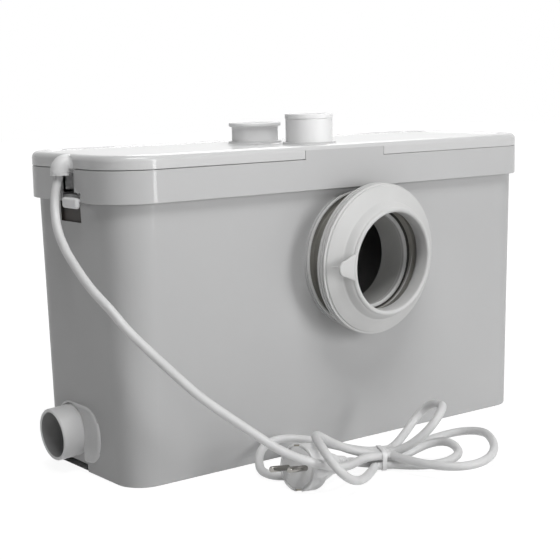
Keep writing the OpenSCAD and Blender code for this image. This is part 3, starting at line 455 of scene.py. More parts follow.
# slack for picking points by their place
slack = 0.0001
tank = rounded_plate("tank", foot_l, foot_d, foot_r, 0)
bpy.ops.object.mode_set(mode="OBJECT")
brim = rounded_plate("brim", brim_l, brim_d, brim_r, tank_top)
bpy.ops.object.mode_set(mode="OBJECT")
join(tank, brim)
bpy.ops.object.mode_set(mode="EDIT")
bpy.ops.mesh.select_mode(type="EDGE")
bpy.ops.mesh.select_all(action="SELECT")
bpy.ops.mesh.bridge_edge_loops()
face_out()
# foot rim and recessed floor
pick(tank, lambda p: p.z < slack, "EDGE")
bpy.ops.mesh.edge_face_add()
bpy.ops.mesh.inset(thickness=wall)
pull(0, 0, foot_h)
# inside of the tank
pick(tank, lambda p: p.z > tank_top - slack, "EDGE")
bpy.ops.mesh.edge_face_add()
bpy.ops.mesh.inset(thickness=wall)
pull(0, 0, floor_z - tank_top)
draft = [(foot - 2 * wall) / (top - 2 * wall) for foot, top in ((foot_l, brim_l), (foot_d, brim_d))]
bpy.ops.transform.resize(value=(*draft, 1), center_override=(0, 0, floor_z))


def on_foot(p):
    """True on the outer outline of the foot, with its round corners."""
    x, y = (max(abs(c) - middle, 0) for c, middle in zip(p.xy, foot_corner))
    return p.z < slack and sqrt(x ** 2 + y ** 2) > foot_r - wall / 2


# rounded lower edge of the wall
pick(tank, on_foot, "EDGE")
bpy.ops.mesh.bevel(offset=0.0014, segments=3)
face_out()
bpy.ops.object.mode_set(mode="OBJECT")
inlet_x, inlet_z = 0.015, 0.162
waste_y, waste_z, waste_hole_r = 0.020, 0.033, 0.022
collar_r, collar_bore, collar_l = 0.048, 0.045, 0.0195
outside_x = -0.23


def waste_way():
    """The hole for the waste spigot, as a bar to cut away."""
    return rod(waste_hole_r, 0.06, (-0.215, waste_y, waste_z), along_x, 64)


def saddle():
    """The room below the waste pipe, as a box to cut away."""
    return block((outside_x, 0.000, -0.01), (-0.2133, 0.044, waste_z))


# ways in for the toilet and the waste spigot, notch in the foot rim, saddle under the waste pipe
# and pocket below the cord's clip
notch = ((-0.225, 0.002, -0.01), (-0.2095, 0.048, 0.006))
pocket_x, pocket_y0, pocket_y1, pocket_z0, pocket_z1 = -0.2198, -0.0172, 0.0145, 0.2062, 0.2235
cut(tank, rod(collar_bore, 0.10, (inlet_x, -0.07, inlet_z), along_y), waste_way(), block(*notch), saddle(),
    block((outside_x, pocket_y0, pocket_z0), (pocket_x, pocket_y1, pocket_z1)))
# seat of the sleeve: a low disc on the front wall with a collar
seat_r, seat_t, seat_y, edge = 0.0595, 0.0045, -0.0698, 0.0003
seat = turned("seat", [(collar_bore, 0), (seat_r, 0), (seat_r, seat_t - edge), (seat_r - edge, seat_t),
                       (collar_r, seat_t), (collar_r, collar_l - edge), (collar_r - edge, collar_l),
                       (collar_bore + edge, collar_l), (collar_bore, collar_l - edge), (collar_bore, 0)], 96)
settle(seat, 35, (inlet_x, seat_y, inlet_z), along_y)
# pad of the waste spigot
pad_l, pad_h, pad_r, pad_t = 0.070, 0.048, 0.022, 0.006
pad_x, pad_y = -0.2126, 0.010
pad = rounded_plate("pad", pad_l, pad_h, pad_r, 0)
pull(0, 0, pad_t)
pick(pad, lambda p: p.z > pad_t - slack, "EDGE")
bpy.ops.mesh.bevel(offset=0.0035, segments=6)
face_out()
settle(pad, 35, (pad_x, pad_y, waste_z), (pi / 2, 0, -pi / 2))
cut(pad, waste_way(), saddle())
inner_pad = cut(block((-0.2155, -0.009, 0.007), (-0.211, 0.049, 0.062)), waste_way())
# ribs under the floor and bosses of the deck's screws
rib_t, rib_h, boss_r, boss_l = 0.003, 0.0072, 0.007, 0.032
ribs = [block((-0.2137, -rib_t / 2, 0), (0.2137, rib_t / 2, rib_h))]
ribs += [block((x - rib_t / 2, -0.0682, 0), (x + rib_t / 2, 0.0682, rib_h)) for x in (-0.11, 0, 0.11)]
boss_places = [(a * 0.2065, b * 0.058) for a in (-1, 1) for b in (-1, 1)]
boss_places += [(a * 0.09, b * 0.066) for a in (-1, 1) for b in (-1, 1)]
bosses = [rod(boss_r, boss_l, (x, y, tank_top - boss_l / 2), sides=32) for x, y in boss_places]
join(tank, seat, pad, inner_pad, *ribs, *bosses)
settle(tank, 32)
flatten(tank)
dress(tank, moulded("shell_plastic", (0.505, 0.506, 0.507), (0.483, 0.484, 0.486), patch=7,
                    rough=(0.40, 0.50), grain=1300, depth=0.00008, shine=0.2, polish=0.08))
# painted light: the pad gets a lighter copy of the tank's plastic, for the light it catches more than the
# wall, which leans out at its draft
paint(tank, moulded("pad_painted_light", (0.70, 0.70, 0.70), (0.66, 0.66, 0.662),
                    patch=30, rough=(0.4, 0.5), grain=1300, depth=0.0001),
      lambda p: (p.x < -0.21555 and p.x < -0.2158 - 0.0307 * p.z
                 and -0.026 < p.y < 0.046 and 0.0085 < p.z < 0.0575))
# painted shadow: the faces of the pocket behind the cord's clip are coloured near black, for the shade under
# the clip
paint(tank, moulded("clip_painted_shadow", (0.055, 0.048, 0.044), (0.035, 0.031, 0.029),
                    patch=90, rough=(0.55, 0.7), grain=1200, depth=0.0002),
      lambda p: (pocket_x - 0.0023 < p.x < pocket_x + 0.0003 and pocket_y0 - slack < p.y < pocket_y1 + slack
                 and pocket_z0 - slack < p.z < pocket_z1 + slack))
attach(tank, "frame")
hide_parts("tank")


# Upper casing: moulded deck of the tank's plastic, with a skirt that closes over the tank's rim. A tongue
# at the front fills a notch in the cover's lip; the left end has a channel for the cord and a cut-out
# for its clip. Screws through the deck hold it on the tank.
def slab(name, length, depth, corner, z, height, segments=12):
    """A plate with round corners and some height, left in edit mode."""
    piece = rounded_plate(name, length, depth, corner, z, segments)
    pull(0, 0, height)
    face_out()
    return piece


case_l, case_d, case_r, skin = 0.455, 0.158, 0.038, 0.0025
end_x, skirt_z, seam_z, deck_z, deck_top = -case_l / 2, 0.223, 0.2483, 0.229, 0.232
upper_casing = slab("upper_casing", case_l, case_d, case_r, skirt_z, seam_z - skirt_z, 24)
pick(upper_casing, lambda p: p.z > seam_z - slack, "FACE")
bpy.ops.mesh.inset(thickness=skin)
pull(0, 0, deck_top - seam_z)
pick(upper_casing, lambda p: p.z < skirt_z + slack, "FACE")
bpy.ops.mesh.inset(thickness=skin)
pull(0, 0, deck_z - skirt_z)
bpy.ops.object.mode_set(mode="OBJECT")
# channel of the cord, cut-out of the clip, holes in the deck for the pipes and the level tube
channel_x, channel_y0, channel_y1, channel_top = end_x + 0.0105, -0.018, 0.004, 0.252
way_y, way_z, way_r = -0.007, 0.2505, 0.0078
clip_y0, clip_y1, clip_gap = -0.027, -0.004, 0.0003
vent_at, discharge_at, level_at = (-0.014, -0.044), (-0.030, 0.012), (0.150, 0.015)
holes = [rod(r, 0.01, (*place, (deck_z + deck_top) / 2), sides=48)
         for place, r in ((discharge_at, 0.0152), (vent_at, 0.013), (level_at, 0.0175))]
cut(upper_casing, block((end_x - 0.001, channel_y0, skirt_z - 0.001), (channel_x, channel_y1, channel_top)),
    block((end_x - 0.001, clip_y0 - clip_gap, skirt_z - 0.001), (end_x + 0.005, clip_y1 + clip_gap, 0.2303)),
    *holes)
channel_floor = block((end_x + 0.0022, channel_y0 - 0.003, deck_z),
                      (channel_x + 0.002, channel_y1 + 0.003, seam_z))
cut(channel_floor, block((end_x, channel_y0, deck_z - 0.001), (channel_x, channel_y1, channel_top)),
    rod(way_r, 0.03, (end_x, way_y, way_z), along_x, 48))
join(upper_casing, channel_floor)
soften(upper_casing, 0.0004, 3, 50)
# the seam under the cover's lip is widest at the cord's end and closes towards the other
pick(upper_casing, lambda p: p.z > seam_z - 0.0006)
bpy.ops.transform.rotate(value=0.0011, orient_axis="Y", center_override=(end_x, 0, seam_z))
bpy.ops.object.mode_set(mode="OBJECT")
tongue_x0, tongue_x1 = -0.046, 0.0395
tongue = block((tongue_x0, -0.07902, seam_z - 0.005), (tongue_x1, -0.0757, 0.2561))
join(upper_casing, tongue)
# locating rim under the cover, open at the channel, and mounting ring of the motor
rim_gap, rim_t, rim_top, motor_x = 0.0028, 0.002, 0.2563, -0.098
rim = band("rim", case_l - 2 * rim_gap, case_d - 2 * rim_gap, case_r - rim_gap, deck_top - 0.0005,
           rim_t, rim_top - deck_top, 24)
cut(rim, block((end_x, channel_y0, deck_top - 0.002), (end_x + 0.006, channel_y1, 0.258)))
ring_r, ring_bore, ring_h = 0.050, 0.040, 0.019
ring = turned("ring", [(ring_bore, -ring_h), (ring_r, -ring_h), (ring_r, 0), (ring_bore, 0),
                       (ring_bore, -ring_h)])
settle(ring, 35, (motor_x, 0, deck_z))
join(upper_casing, rim, ring)
settle(upper_casing, 32)
flatten(upper_casing)
dress(upper_casing, moulded("casing_plastic", (0.53, 0.531, 0.532), (0.507, 0.508, 0.51), patch=7,
                            rough=(0.36, 0.46), grain=1300, depth=0.00008, shine=0.2, polish=0.36))
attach(upper_casing, "frame")
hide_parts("upper_casing")


# Top cover: lid of glossy pale plastic, moulded with a rounded edge and a shallow dished top. It fits over
# the casing's locating rim with a fine seam at its lip, and two low collars stand round the spigots.
lip_z, top_z, under_z, collar_z = 0.249, 0.260, 0.2567, 0.2614
lid_edge_r, border_w, dish_w, dish_h = 0.005, 0.007, 0.0006, 0.0004
top_cover = slab("top_cover", case_l, case_d, case_r, lip_z, top_z - lip_z, 24)
pick(top_cover, lambda p: p.z > top_z - slack, "EDGE")
bpy.ops.mesh.bevel(offset=lid_edge_r, segments=10)
pick(top_cover, lambda p: p.z > top_z - 1e-6, "FACE")
bpy.ops.mesh.inset(thickness=border_w)
for _ in range(2):
    bpy.ops.mesh.inset(thickness=dish_w, depth=-dish_h)
pick(top_cover, lambda p: p.z < lip_z + slack, "FACE")
bpy.ops.mesh.inset(thickness=skin)
pull(0, 0, under_z - lip_z)
bpy.ops.object.mode_set(mode="OBJECT")
soften(top_cover, 0.0003, 2, 60)
# notch of the casing's tongue and way of the cord
cut(top_cover, block((tongue_x0 - 0.0005, -0.08, 0.248), (tongue_x1 + 0.0005, -0.0755, 0.2560)),
    rod(way_r, 0.016, (end_x + 0.006, way_y, way_z), along_x, 64))
for (x, y), wide, bore in ((vent_at, 0.0225, 0.0202), (discharge_at, 0.02325, 0.02045)):
    collar = turned("collar", [
        (bore, under_z), (wide + 0.0012, under_z), (wide + 0.0012, 0.2592), (wide + 0.0004, 0.2597),
        (wide, 0.2604), (wide, collar_z - 0.0004), (wide - 0.0004, collar_z), (bore + 0.0004, collar_z),
        (bore, collar_z - 0.0004), (bore, under_z)], 96)
    settle(collar, 35, (x, y, 0))
    cut(top_cover, rod(wide + 0.0002, 0.02, (x, y, 0.2575)))
    join(top_cover, collar)
settle(top_cover, 32)
flatten(top_cover)
dress(top_cover, moulded("lid_plastic", (0.60, 0.60, 0.60), (0.575, 0.576, 0.577), patch=7,
                         rough=(0.34, 0.44), grain=1300, depth=0.00008, shine=0.3, polish=0.45))
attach(top_cover, "frame")
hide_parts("top_cover")


# Toilet sleeve: soft white rubber, stretched over the tank's collar. A thin flange lies on the seat,
# a ridged ring stands in front of a deep groove, the rolled mouth takes the toilet's spigot and
# a tab helps to pull it on.
ridge_r, mouth_r, roll_r, out = 0.0635, 0.0415, 0.0022, 0.0435
# flange on the seat
profile = [(0.0482, 0), (0.0580, 0), (0.0585, 0.0005), (0.0585, 0.0020), (0.0581, 0.0025),
           (0.0569, 0.0025), (0.0565, 0.0020), (0.0562, 0.0006)]
# groove and ridged ring
profile += [(0.0520, 0.0006)] + bent((0.0535, 0.0160), 0.0015, 180, 90, 4)
profile += bent((ridge_r - 0.0010, 0.0185), 0.0010, -90, 0, 4)
for s in (0.0194, 0.0224, 0.0254):
    profile += [(ridge_r - 0.0016, s - 0.0006), (ridge_r + 0.0005, s - 0.0001),
                (ridge_r + 0.0005, s + 0.0011), (ridge_r - 0.0016, s + 0.0016)]
# cone and rolled mouth
profile += bent((ridge_r - 0.0026, 0.0272), 0.0014, 0, 56, 5) + [(0.0565, 0.0304), (0.0512, 0.0339)]
profile += bent((0.0518, 0.0362), 0.0024, 256, 200, 5)
profile += [(0.0484, 0.0378), (0.0472, 0.0398), (0.0464, 0.0409)]
profile += bent((mouth_r + roll_r, out - 0.0023), roll_r, 0, 180, 12)
# inside of the mouth and cuff in the collar
profile += [(mouth_r, 0.0302), (mouth_r + 0.0006, 0.0294), (0.0530, 0.0290), (0.0530, 0.0235),
            (0.0446, 0.0230), (0.0440, 0.0222), (0.0440, 0.0142), (0.0404, 0.0136), (0.0397, 0.0130),
            (0.0396, 0.0116), (0.0402, 0.0104), (0.0401, 0.0090), (0.0383, -0.0140), (0.0445, -0.0140),
            (0.0447, -0.0135), (0.0447, 0.0153), (0.0482, 0.0153), (0.0482, 0)]
toilet_sleeve = turned("toilet_sleeve", profile, 128)
# tab, wider at its root on the mouth
tab_l, tab_w, tab_r, tab_t, root = 0.0225, 0.0132, 0.0064, 0.0026, 1.65
tab = slab("tab", tab_l, tab_w, tab_r, 0, tab_t)
pick(tab, lambda p: p.x > 0)
bpy.ops.transform.resize(value=(1, root, 1), center_override=(0, 0, 0))
bpy.ops.object.mode_set(mode="OBJECT")
soften(tab, 0.0009, 3, 50)
settle(tab, 35, (-0.0495, -0.0003, out - 0.0032))
cut(tab, rod(mouth_r + 0.0006, 0.02, (0, 0, out)))
# painted shade: darker grey sheets laid in the groove behind the ring and in the one inside the mouth, where
# shade falls
groove_shade_sheet = turned("groove_shade_sheet", [(0.0483, 0.0007), (0.0561, 0.0007), (0.0558, 0.0010), (0.0525, 0.0012),
                           (0.0522, 0.0015), (0.0522, 0.0167), (0.0535, 0.0174), (0.0483, 0.0174),
                           (0.0483, 0.0007)], 128)
inner = turned("inner", [(0.0440, 0.0296), (0.0528, 0.0296), (0.0528, 0.0284), (0.0504, 0.0281),
                         (0.0502, 0.0262), (0.0528, 0.0258), (0.0528, 0.0232), (0.0438, 0.0232),
                         (0.0438, 0.0144), (0.0424, 0.0142), (0.0424, 0.0136), (0.0445, 0.0136),
                         (0.0445, 0.0225), (0.0535, 0.0226), (0.0535, 0.0300), (0.0440, 0.0300),
                         (0.0440, 0.0296)], 128)
# painted shadow: a near-black ring at the bottom of the mouth
mouth_shadow_ring = turned("mouth_shadow_ring", [(0.0424, 0.0137), (0.0439, 0.0137), (0.0439, 0.0160), (0.0436, 0.0160),
                                   (0.0436, 0.0146), (0.0424, 0.0144), (0.0424, 0.0137)], 128)
# fine line of the mould's parting, from the ridges to the tab
parting = rod(0.0005, 0.0140, (-0.0572, -0.0003, 0.0300), (0, atan2(0.0053, 0.0035), 0), 12)
sleeve_rubber = moulded("sleeve_rubber", (0.62, 0.62, 0.615), (0.585, 0.585, 0.58),
                        patch=30, rough=(0.46, 0.6), grain=1600, depth=0.00012)
for piece in (toilet_sleeve, tab, parting):
    dress(piece, sleeve_rubber)
# painted shade: the sheets in both grooves get darker grey colours
dress(groove_shade_sheet, moulded("groove_painted_shade", (0.22, 0.215, 0.195), (0.18, 0.176, 0.16),
                      patch=60, rough=(0.5, 0.65), grain=1400, depth=0.00015))
dress(inner, moulded("mouth_groove_painted_shade", (0.36, 0.353, 0.325), (0.31, 0.303, 0.28),
                     patch=60, rough=(0.5, 0.65), grain=1400, depth=0.00015))
# painted shadow: near black for the ring at the bottom of the mouth
dress(mouth_shadow_ring, moulded("mouth_painted_shadow", (0.06, 0.058, 0.054), (0.04, 0.039, 0.036),
                          patch=60, rough=(0.55, 0.7), grain=1400, depth=0.00015))
join(toilet_sleeve, tab, groove_shade_sheet, inner, mouth_shadow_ring, parting)
# painted shade: the cuff deep inside the collar gets a darker copy of the sleeve's rubber
paint(toilet_sleeve, moulded("cuff_painted_shade", (0.50, 0.50, 0.49), (0.45, 0.45, 0.44),
                             patch=60, rough=(0.5, 0.65), grain=1400, depth=0.00015),
      lambda p: p.xy.length < 0.0400 and p.z < 0.0120)
# the soft front hangs a little down and to the right of the collar
pick(toilet_sleeve, lambda p: p.z > 0.0163)
for axis in ("X", "Y"):
    bpy.ops.transform.rotate(value=radians(-3), orient_axis=axis, center_override=(0, 0, 0.040))
bpy.ops.object.mode_set(mode="OBJECT")
settle(toilet_sleeve, 40, (inlet_x, seat_y - seat_t, inlet_z), along_y)
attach(toilet_sleeve, "frame")
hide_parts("toilet_sleeve")


# Waste spigot: pipe end moulded of pale plastic, put through the pad from inside. Its inner end is
# the flap's seat and carries two ears for the flap's pin.
inner_x, mouth_x, flange_x, shoulder_x = -0.202981, -0.236681, -0.209481, -0.2187
side_r, side_bore, flange_r, flange_t, shoulder_r = 0.0215, 0.0187, 0.027, 0.0035, 0.0218
pipe = [(side_bore, inner_x), (side_r, inner_x), (side_r, flange_x + flange_t),
        (flange_r, flange_x + flange_t), (flange_r, flange_x), (shoulder_r, flange_x),
        (shoulder_r, shoulder_x), (side_r, shoulder_x), (side_r, mouth_x + 0.0012),
        (side_r - 0.0006, mouth_x + 0.0003), (side_r - 0.0012, mouth_x), (side_bore + 0.0008, mouth_x),
        (side_bore, mouth_x + 0.0008), (side_bore, inner_x)]
side_spigot = turned("side_spigot", pipe, 96)
settle(side_spigot, 35, (0, waste_y, waste_z), along_x)
# the flange stands on the tank's floor
cut(side_spigot, block((-0.211, -0.02, -0.01), (-0.2035, 0.06, 0.0103)))
ear_off, ear_t, ear_tip, pin_x, pin_z = 0.013, 0.004, -0.198231, -0.201431, 0.059
ears = []
for y in (waste_y - ear_off, waste_y + ear_off):
    ear = block((flange_x, y - ear_t / 2, 0.052), (ear_tip, y + ear_t / 2, 0.0622))
    ears.append(cut(ear, rod(0.00155, 0.08, (pin_x, waste_y, pin_z), along_y, 32)))
join(side_spigot, *ears)
settle(side_spigot, 35)
spigot_plastic = moulded("spigot_plastic", (0.88, 0.88, 0.88), (0.84, 0.84, 0.842),
                         patch=22, rough=(0.36, 0.48), grain=1500, depth=0.0001)
dress(side_spigot, moulded("waste_plastic", (0.76, 0.76, 0.76), (0.72, 0.72, 0.722),
                           patch=22, rough=(0.36, 0.48), grain=1500, depth=0.0001))
# painted shade: the inside of the bore gets a darker copy of the pipe's plastic, for the shade deep in it
paint(side_spigot, moulded("bore_painted_shade", (0.36, 0.36, 0.36), (0.32, 0.32, 0.322),
                           patch=22, rough=(0.4, 0.52), grain=1500, depth=0.0001),
      lambda p: (p.yz - Vector((waste_y, waste_z))).length < side_bore + 0.0002)
# its free end hangs a little
droop_x, droop = -0.2180, 0.0007
pick(side_spigot, lambda p: p.x < droop_x)
bpy.ops.transform.translate(value=(0, 0, -droop))
bpy.ops.transform.rotate(value=radians(3.5), orient_axis="Y",
                         center_override=(droop_x, waste_y, waste_z - droop))
bpy.ops.object.mode_set(mode="OBJECT")
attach(side_spigot, "frame")
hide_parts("side_spigot")


# Vent and discharge spigots: round white plastic mouldings that come up through the cover's collars.
# The vent stands on the deck and is plain with a rim; the discharge stands on the valve's body
# and has a bead that holds a hose elbow.
vent_r, vent_bore, vent_base = 0.020, 0.013, 0.2345
vent = [(vent_bore, deck_top), (0.023, deck_top), (0.023, vent_base), (vent_r, vent_base),
        (vent_r, 0.2808), (0.0205, 0.2813), (0.0205, 0.2843)]
vent += bent((0.0198, 0.2843), 0.0007, 0, 90, 4) + bent((0.0180, 0.2845), 0.0005, 90, 180, 3)
vent += [(0.0175, 0.273), (0.017, 0.273), (0.017, vent_base), (vent_bore, vent_base), (vent_bore, deck_top)]
vent_spigot = turned("vent_spigot", vent, 96)
settle(vent_spigot, 35, (*vent_at, 0))
bore, hose_r, bottom, bead_z = 0.0165, 0.02025, 0.2535, 0.2764
hose_end = [(bore, bottom), (0.025, bottom), (0.025, 0.2564), (hose_r, 0.2564), (hose_r, 0.2732),
            (0.0206, 0.2737), (0.0222, 0.2741)]
hose_end += bent((0.02175, 0.2751), 0.001, -60, 0, 3) + [(0.02275, bead_z)]
hose_end += bent((0.02165, bead_z), 0.0011, 0, 90, 4)
hose_end += bent((bore + 0.0008, 0.2767), 0.0008, 90, 180, 3) + [(bore, bottom)]
discharge_spigot = turned("discharge_spigot", hose_end, 96)
settle(discharge_spigot, 35, (*discharge_at, 0))
for piece, node in ((vent_spigot, "vent_spigot"), (discharge_spigot, "discharge_spigot")):
    dress(piece, spigot_plastic)
    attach(piece, "frame")
    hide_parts(node)


# Cord hood: a soft white rubber elbow pushed into the end wall, flared where it meets the wall and
# ribbed at its open end, so that the cord hangs straight down out of it.
hood_y, hood_z, hood_r, bend, mouth_z = way_y, 0.2523, 0.0075, 0.0055, 0.2436
straight = hood_z - bend - mouth_z
hood_wall, hole_l, plug_in = 0.0018, 0.0055, 0.007
bpy.ops.object.select_all(action="DESELECT")
bpy.ops.mesh.primitive_circle_add(radius=hood_r, vertices=48, fill_type="NGON", enter_editmode=True)
bpy.ops.mesh.select_mode(type="FACE")
cord_hood = bpy.context.object
cord_hood.name = cord_hood.data.name = "cord_hood"
# hollow mouth, then the outside up, round the bend and into the wall
bpy.ops.mesh.inset(thickness=hood_wall)
pull(0, 0, hole_l)
pick(cord_hood, lambda p: p.z < slack and p.xy.length > hood_r - 0.0002, "EDGE")
pull(0, 0, straight)
bpy.ops.mesh.spin(steps=24, angle=-pi / 2, center=(bend, 0, straight), axis=(0, 1, 0))
pull(plug_in, 0, 0)
bpy.ops.mesh.edge_face_add()
bpy.ops.mesh.select_all(action="SELECT")
bpy.ops.mesh.remove_doubles(threshold=1e-6)
bpy.ops.mesh.normals_make_consistent(inside=False)
settle(cord_hood, 40, (end_x - bend, hood_y, mouth_z))
lips = []
for z in (0.0005, 0.0017, 0.0029):
    lip = turned("lip", [(hood_r - 0.0006, -0.0004), (hood_r + 0.0001, -0.0004), (hood_r + 0.0003, -0.0002),
                         (hood_r + 0.0003, 0.0002), (hood_r + 0.0001, 0.0004), (hood_r - 0.0006, 0.0004)], 48)
    lips.append(settle(lip, 40, (end_x - bend, hood_y, mouth_z + z)))
# flare on the wall, widened step by step and open below
bpy.ops.object.select_all(action="DESELECT")
bpy.ops.mesh.primitive_circle_add(radius=hood_r - 0.0001, vertices=64, fill_type="NOTHING",
                                  location=(end_x - 0.0018, hood_y, hood_z - 0.0001), rotation=along_x)
bpy.ops.object.transform_apply(location=True, rotation=True, scale=True)
flare = bpy.context.object
bpy.ops.object.mode_set(mode="EDIT")
bpy.ops.mesh.select_all(action="SELECT")
for forward, wider in ((0.0006, 1.05), (0.0005, 1.09), (0.0004, 1.12), (0.0003, 1.15), (0.0001, 1.15)):
    pull(forward, 0, 0)
    bpy.ops.transform.resize(value=(1, wider, 1), center_override=(0, hood_y, hood_z))
bpy.ops.mesh.select_all(action="SELECT")
bpy.ops.mesh.bisect(plane_co=(0, 0, 0.2491), plane_no=(0, 0, 1), clear_inner=True)
face_out()
bpy.ops.object.mode_set(mode="OBJECT")
join(cord_hood, flare, *lips)
settle(cord_hood, 40)
dress(cord_hood, moulded("hood_rubber", (0.80, 0.80, 0.80), (0.75, 0.75, 0.752),
                         patch=80, rough=(0.38, 0.5), grain=1700, depth=0.0001))
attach(cord_hood, "frame")
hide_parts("cord_hood")


# Cord clip: a springy tongue of white plastic, pushed into the skirt's cut-out, with a thick rolled
# lip, behind which the cord can be pressed.
arm_in, slot_in = 0.0005, 0.0035
cord_clip = block((end_x - 0.004, clip_y0, 0.2182), (end_x + 0.0005, clip_y1, 0.2266))
cord_clip.name = cord_clip.data.name = "cord_clip"
soften(cord_clip, 0.0022, 6)
arm = block((end_x - 0.001, clip_y0 + arm_in, 0.2237), (end_x + 0.005, clip_y1 - arm_in, 0.2262))
cut(arm, block((end_x + 0.001, clip_y0 + slot_in, 0.22), (end_x + 0.0035, clip_y1 - slot_in, 0.23)))
join(cord_clip, arm)
settle(cord_clip, 40)
dress(cord_clip, spigot_plastic)
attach(cord_clip, "frame")
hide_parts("cord_clip")


# Inside: pump, motor, valve, level switch and wiring keep their exact shapes and get their own
# finishes: glass-filled plastic, ground steel, laminations, copper, black rubber, filter foam.
def dress_nodes(finish, names):
    """Gives CAD nodes a finish."""
    for name in names.split():
        dress(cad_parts[name], finish)


# name, light and dark shade, patch, roughness, grain, depth, nodes
plastics = [
    ("pump_plastic", (0.06, 0.061, 0.063), (0.045, 0.046, 0.048), 40, (0.42, 0.58), 900, 0.0002,
     "volute pump_cover impeller"),
    ("black_rubber", (0.055, 0.055, 0.055), (0.035, 0.035, 0.035), 60, (0.5, 0.7), 1200, 0.0002,
     "lid_seal side_seal side_flap discharge_flap shaft_seal diaphragm"),
    ("filter_foam", (0.075, 0.075, 0.08), (0.02, 0.02, 0.022), 600, (0.8, 0.95), 700, 0.001, "vent_filter"),
    ("white_nylon", (0.80, 0.80, 0.77), (0.74, 0.74, 0.71), 60, (0.28, 0.4), 1500, 0.0001, "switch_plunger"),
    ("switch_black", (0.06, 0.06, 0.065), (0.04, 0.04, 0.042), 90, (0.35, 0.5), 1500, 0.0001, "microswitch"),
    ("button_red", (0.55, 0.06, 0.04), (0.45, 0.045, 0.03), 90, (0.3, 0.45), 1500, 0.0001,
     "microswitch_button"),
    ("terminal_cream", (0.74, 0.71, 0.64), (0.68, 0.65, 0.58), 70, (0.3, 0.45), 1500, 0.0001,
     "terminal_block")]
for name, *look, names in plastics:
    dress_nodes(moulded(name, *look), names)
# name, colour, roughness, stretch of the scratches, nodes
metals = [
    ("ground_steel", (0.60, 0.61, 0.63), (0.2, 0.38), (1, 1, 12),
     "strainer_ring cutter_blade shaft side_flap_pin discharge_flap_pin motor_screws deck_screws "
     "bearing_lower bearing_upper"),
    ("laminations", (0.34, 0.35, 0.37), (0.4, 0.6), (1, 1, 60), "rotor_core stator"),
    ("copper_wire", (0.72, 0.36, 0.18), (0.28, 0.45), (40, 1, 40), "stator_windings"),
    ("cast_can", (0.60, 0.61, 0.62), (0.35, 0.55), (3, 3, 3), "motor_housing motor_end_cap capacitor")]
for name, *look, names in metals:
    dress_nodes(plated(name, *look), names)
dress_nodes(spigot_plastic, "valve_body riser_pipe level_tube switch_base diaphragm_cover vent_grille")
dress_nodes(cord_sheath, "inner_lead")


# Stage: a plain white floor that keeps a soft shadow, a white surround and five soft lamps.
# Floor and surround are white only to the camera and in reflections, so that they light the pump little.
def seen_directly(tree):
    """A node that gives 1 to the camera's rays and to reflections, and 0 to the light on the pump."""
    rays = add_node(tree, "ShaderNodeLightPath")
    seen = add_node(tree, "ShaderNodeMath", operation="MAXIMUM")
    wire(tree, rays, "Is Camera Ray", seen, 0)
    wire(tree, rays, "Is Glossy Ray", seen, 1)
    return seen


bpy.ops.object.select_all(action="DESELECT")
bpy.ops.mesh.primitive_plane_add(size=12, location=(0, 0, -0.0002))
floor = bpy.context.object
floor.name = "floor"
bpy.ops.object.transform_apply(location=True, rotation=True, scale=True)
paper = bpy.data.materials.new("white_paper")
paper.use_nodes = True
tree = paper.node_tree
tree.nodes.remove(tree.nodes["Principled BSDF"])
matt = add_node(tree, "ShaderNodeBsdfDiffuse", {"Color": (0.78, 0.78, 0.78, 1)})
# the white grows from the pump outwards
white = add_node(tree, "ShaderNodeEmission", {"Color": (1, 1, 1, 1)})
where = add_node(tree, "ShaderNodeTexCoord")
far = add_node(tree, "ShaderNodeVectorMath", operation="LENGTH")
wire(tree, where, "Object", far, 0)
fade = add_node(tree, "ShaderNodeMapRange",
                {"From Min": 0.45, "From Max": 1.1, "To Min": 1.24, "To Max": 1.4})
wire(tree, far, "Value", fade, "Value")
wire(tree, fade, "Result", white, "Strength")
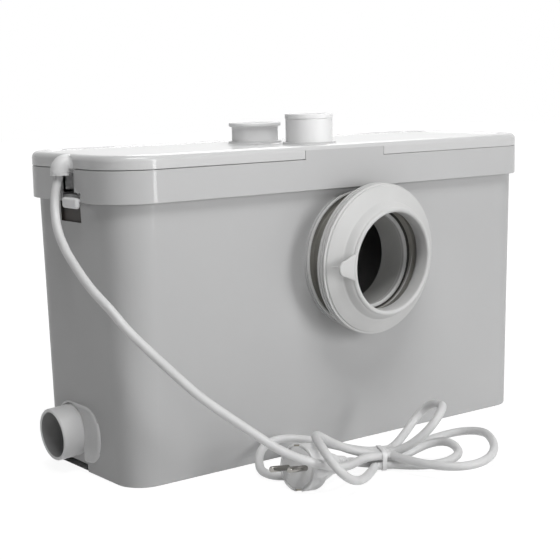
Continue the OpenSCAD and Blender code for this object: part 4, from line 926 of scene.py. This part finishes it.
# no white under the tank, inside its foot rim
mask, output = where, "Object"
for operation, amount in (("ABSOLUTE", None), ("SUBTRACT", (*foot_corner, 0)),
                          ("MAXIMUM", (0, 0, 0)), ("LENGTH", None)):
    further = add_node(tree, "ShaderNodeVectorMath", {1: amount} if amount else None, operation=operation)
    wire(tree, mask, output, further, 0)
    mask, output = further, "Vector"
outside = add_node(tree, "ShaderNodeMath", {1: 0.0213}, operation="GREATER_THAN")
wire(tree, mask, "Value", outside, 0)
open_floor = add_node(tree, "ShaderNodeMath", operation="MULTIPLY")
wire(tree, seen_directly(tree), "Value", open_floor, 0)
wire(tree, outside, "Value", open_floor, 1)
share = add_node(tree, "ShaderNodeMath", {1: 0.74}, operation="MULTIPLY")
wire(tree, open_floor, "Value", share, 0)
blend = add_node(tree, "ShaderNodeMixShader")
wire(tree, share, "Value", blend, "Fac")
wire(tree, matt, "BSDF", blend, 1)
wire(tree, white, "Emission", blend, 2)
wire(tree, blend, "Shader", tree.nodes["Material Output"], "Surface")
floor.data.materials.append(paper)

world = bpy.data.worlds.new("studio")
bpy.context.scene.world = world
world.use_nodes = True
tree = world.node_tree
sky = tree.nodes["Background"]
sky.inputs["Color"].default_value = (1, 1, 1, 1)
sky.inputs["Strength"].default_value = 0.02
clear = add_node(tree, "ShaderNodeBackground", {"Color": (1, 1, 1, 1), "Strength": 1})
blend = add_node(tree, "ShaderNodeMixShader")
wire(tree, seen_directly(tree), "Value", blend, "Fac")
wire(tree, sky, "Background", blend, 1)
wire(tree, clear, "Background", blend, 2)
wire(tree, blend, "Shader", tree.nodes["World Output"], "Surface")


def lamp(name, power, size, place, aim):
    """A soft rectangular lamp that looks at a point."""
    bpy.ops.object.select_all(action="DESELECT")
    bpy.ops.object.light_add(type="AREA", location=place)
    light = bpy.context.object
    light.name = name
    light.data.shape = "RECTANGLE"
    light.data.size, light.data.size_y = size
    light.data.energy = power
    light.rotation_euler = (Vector(aim) - Vector(place)).to_track_quat("-Z", "Y").to_euler()


lamp("key", 11, (0.6, 0.6), (0.70, -2.07, 0.75), (0, 0, 0.12))
lamp("low_front", 2.4, (0.2, 0.35), (0.36, -1.24, 0.19), (-0.12, 0, 0.10))
lamp("fill", 3.6, (0.6, 0.6), (-1.2, -1.8, 0.8), (0, 0, 0.13))
lamp("overhead", 14.5, (0.9, 0.5), (-0.34, -0.75, 1.5), (-0.1, 0, 0.15))
lamp("back", 9.5, (0.8, 0.6), (0.65, 0.65, 1.15), (0.05, 0, 0.25))
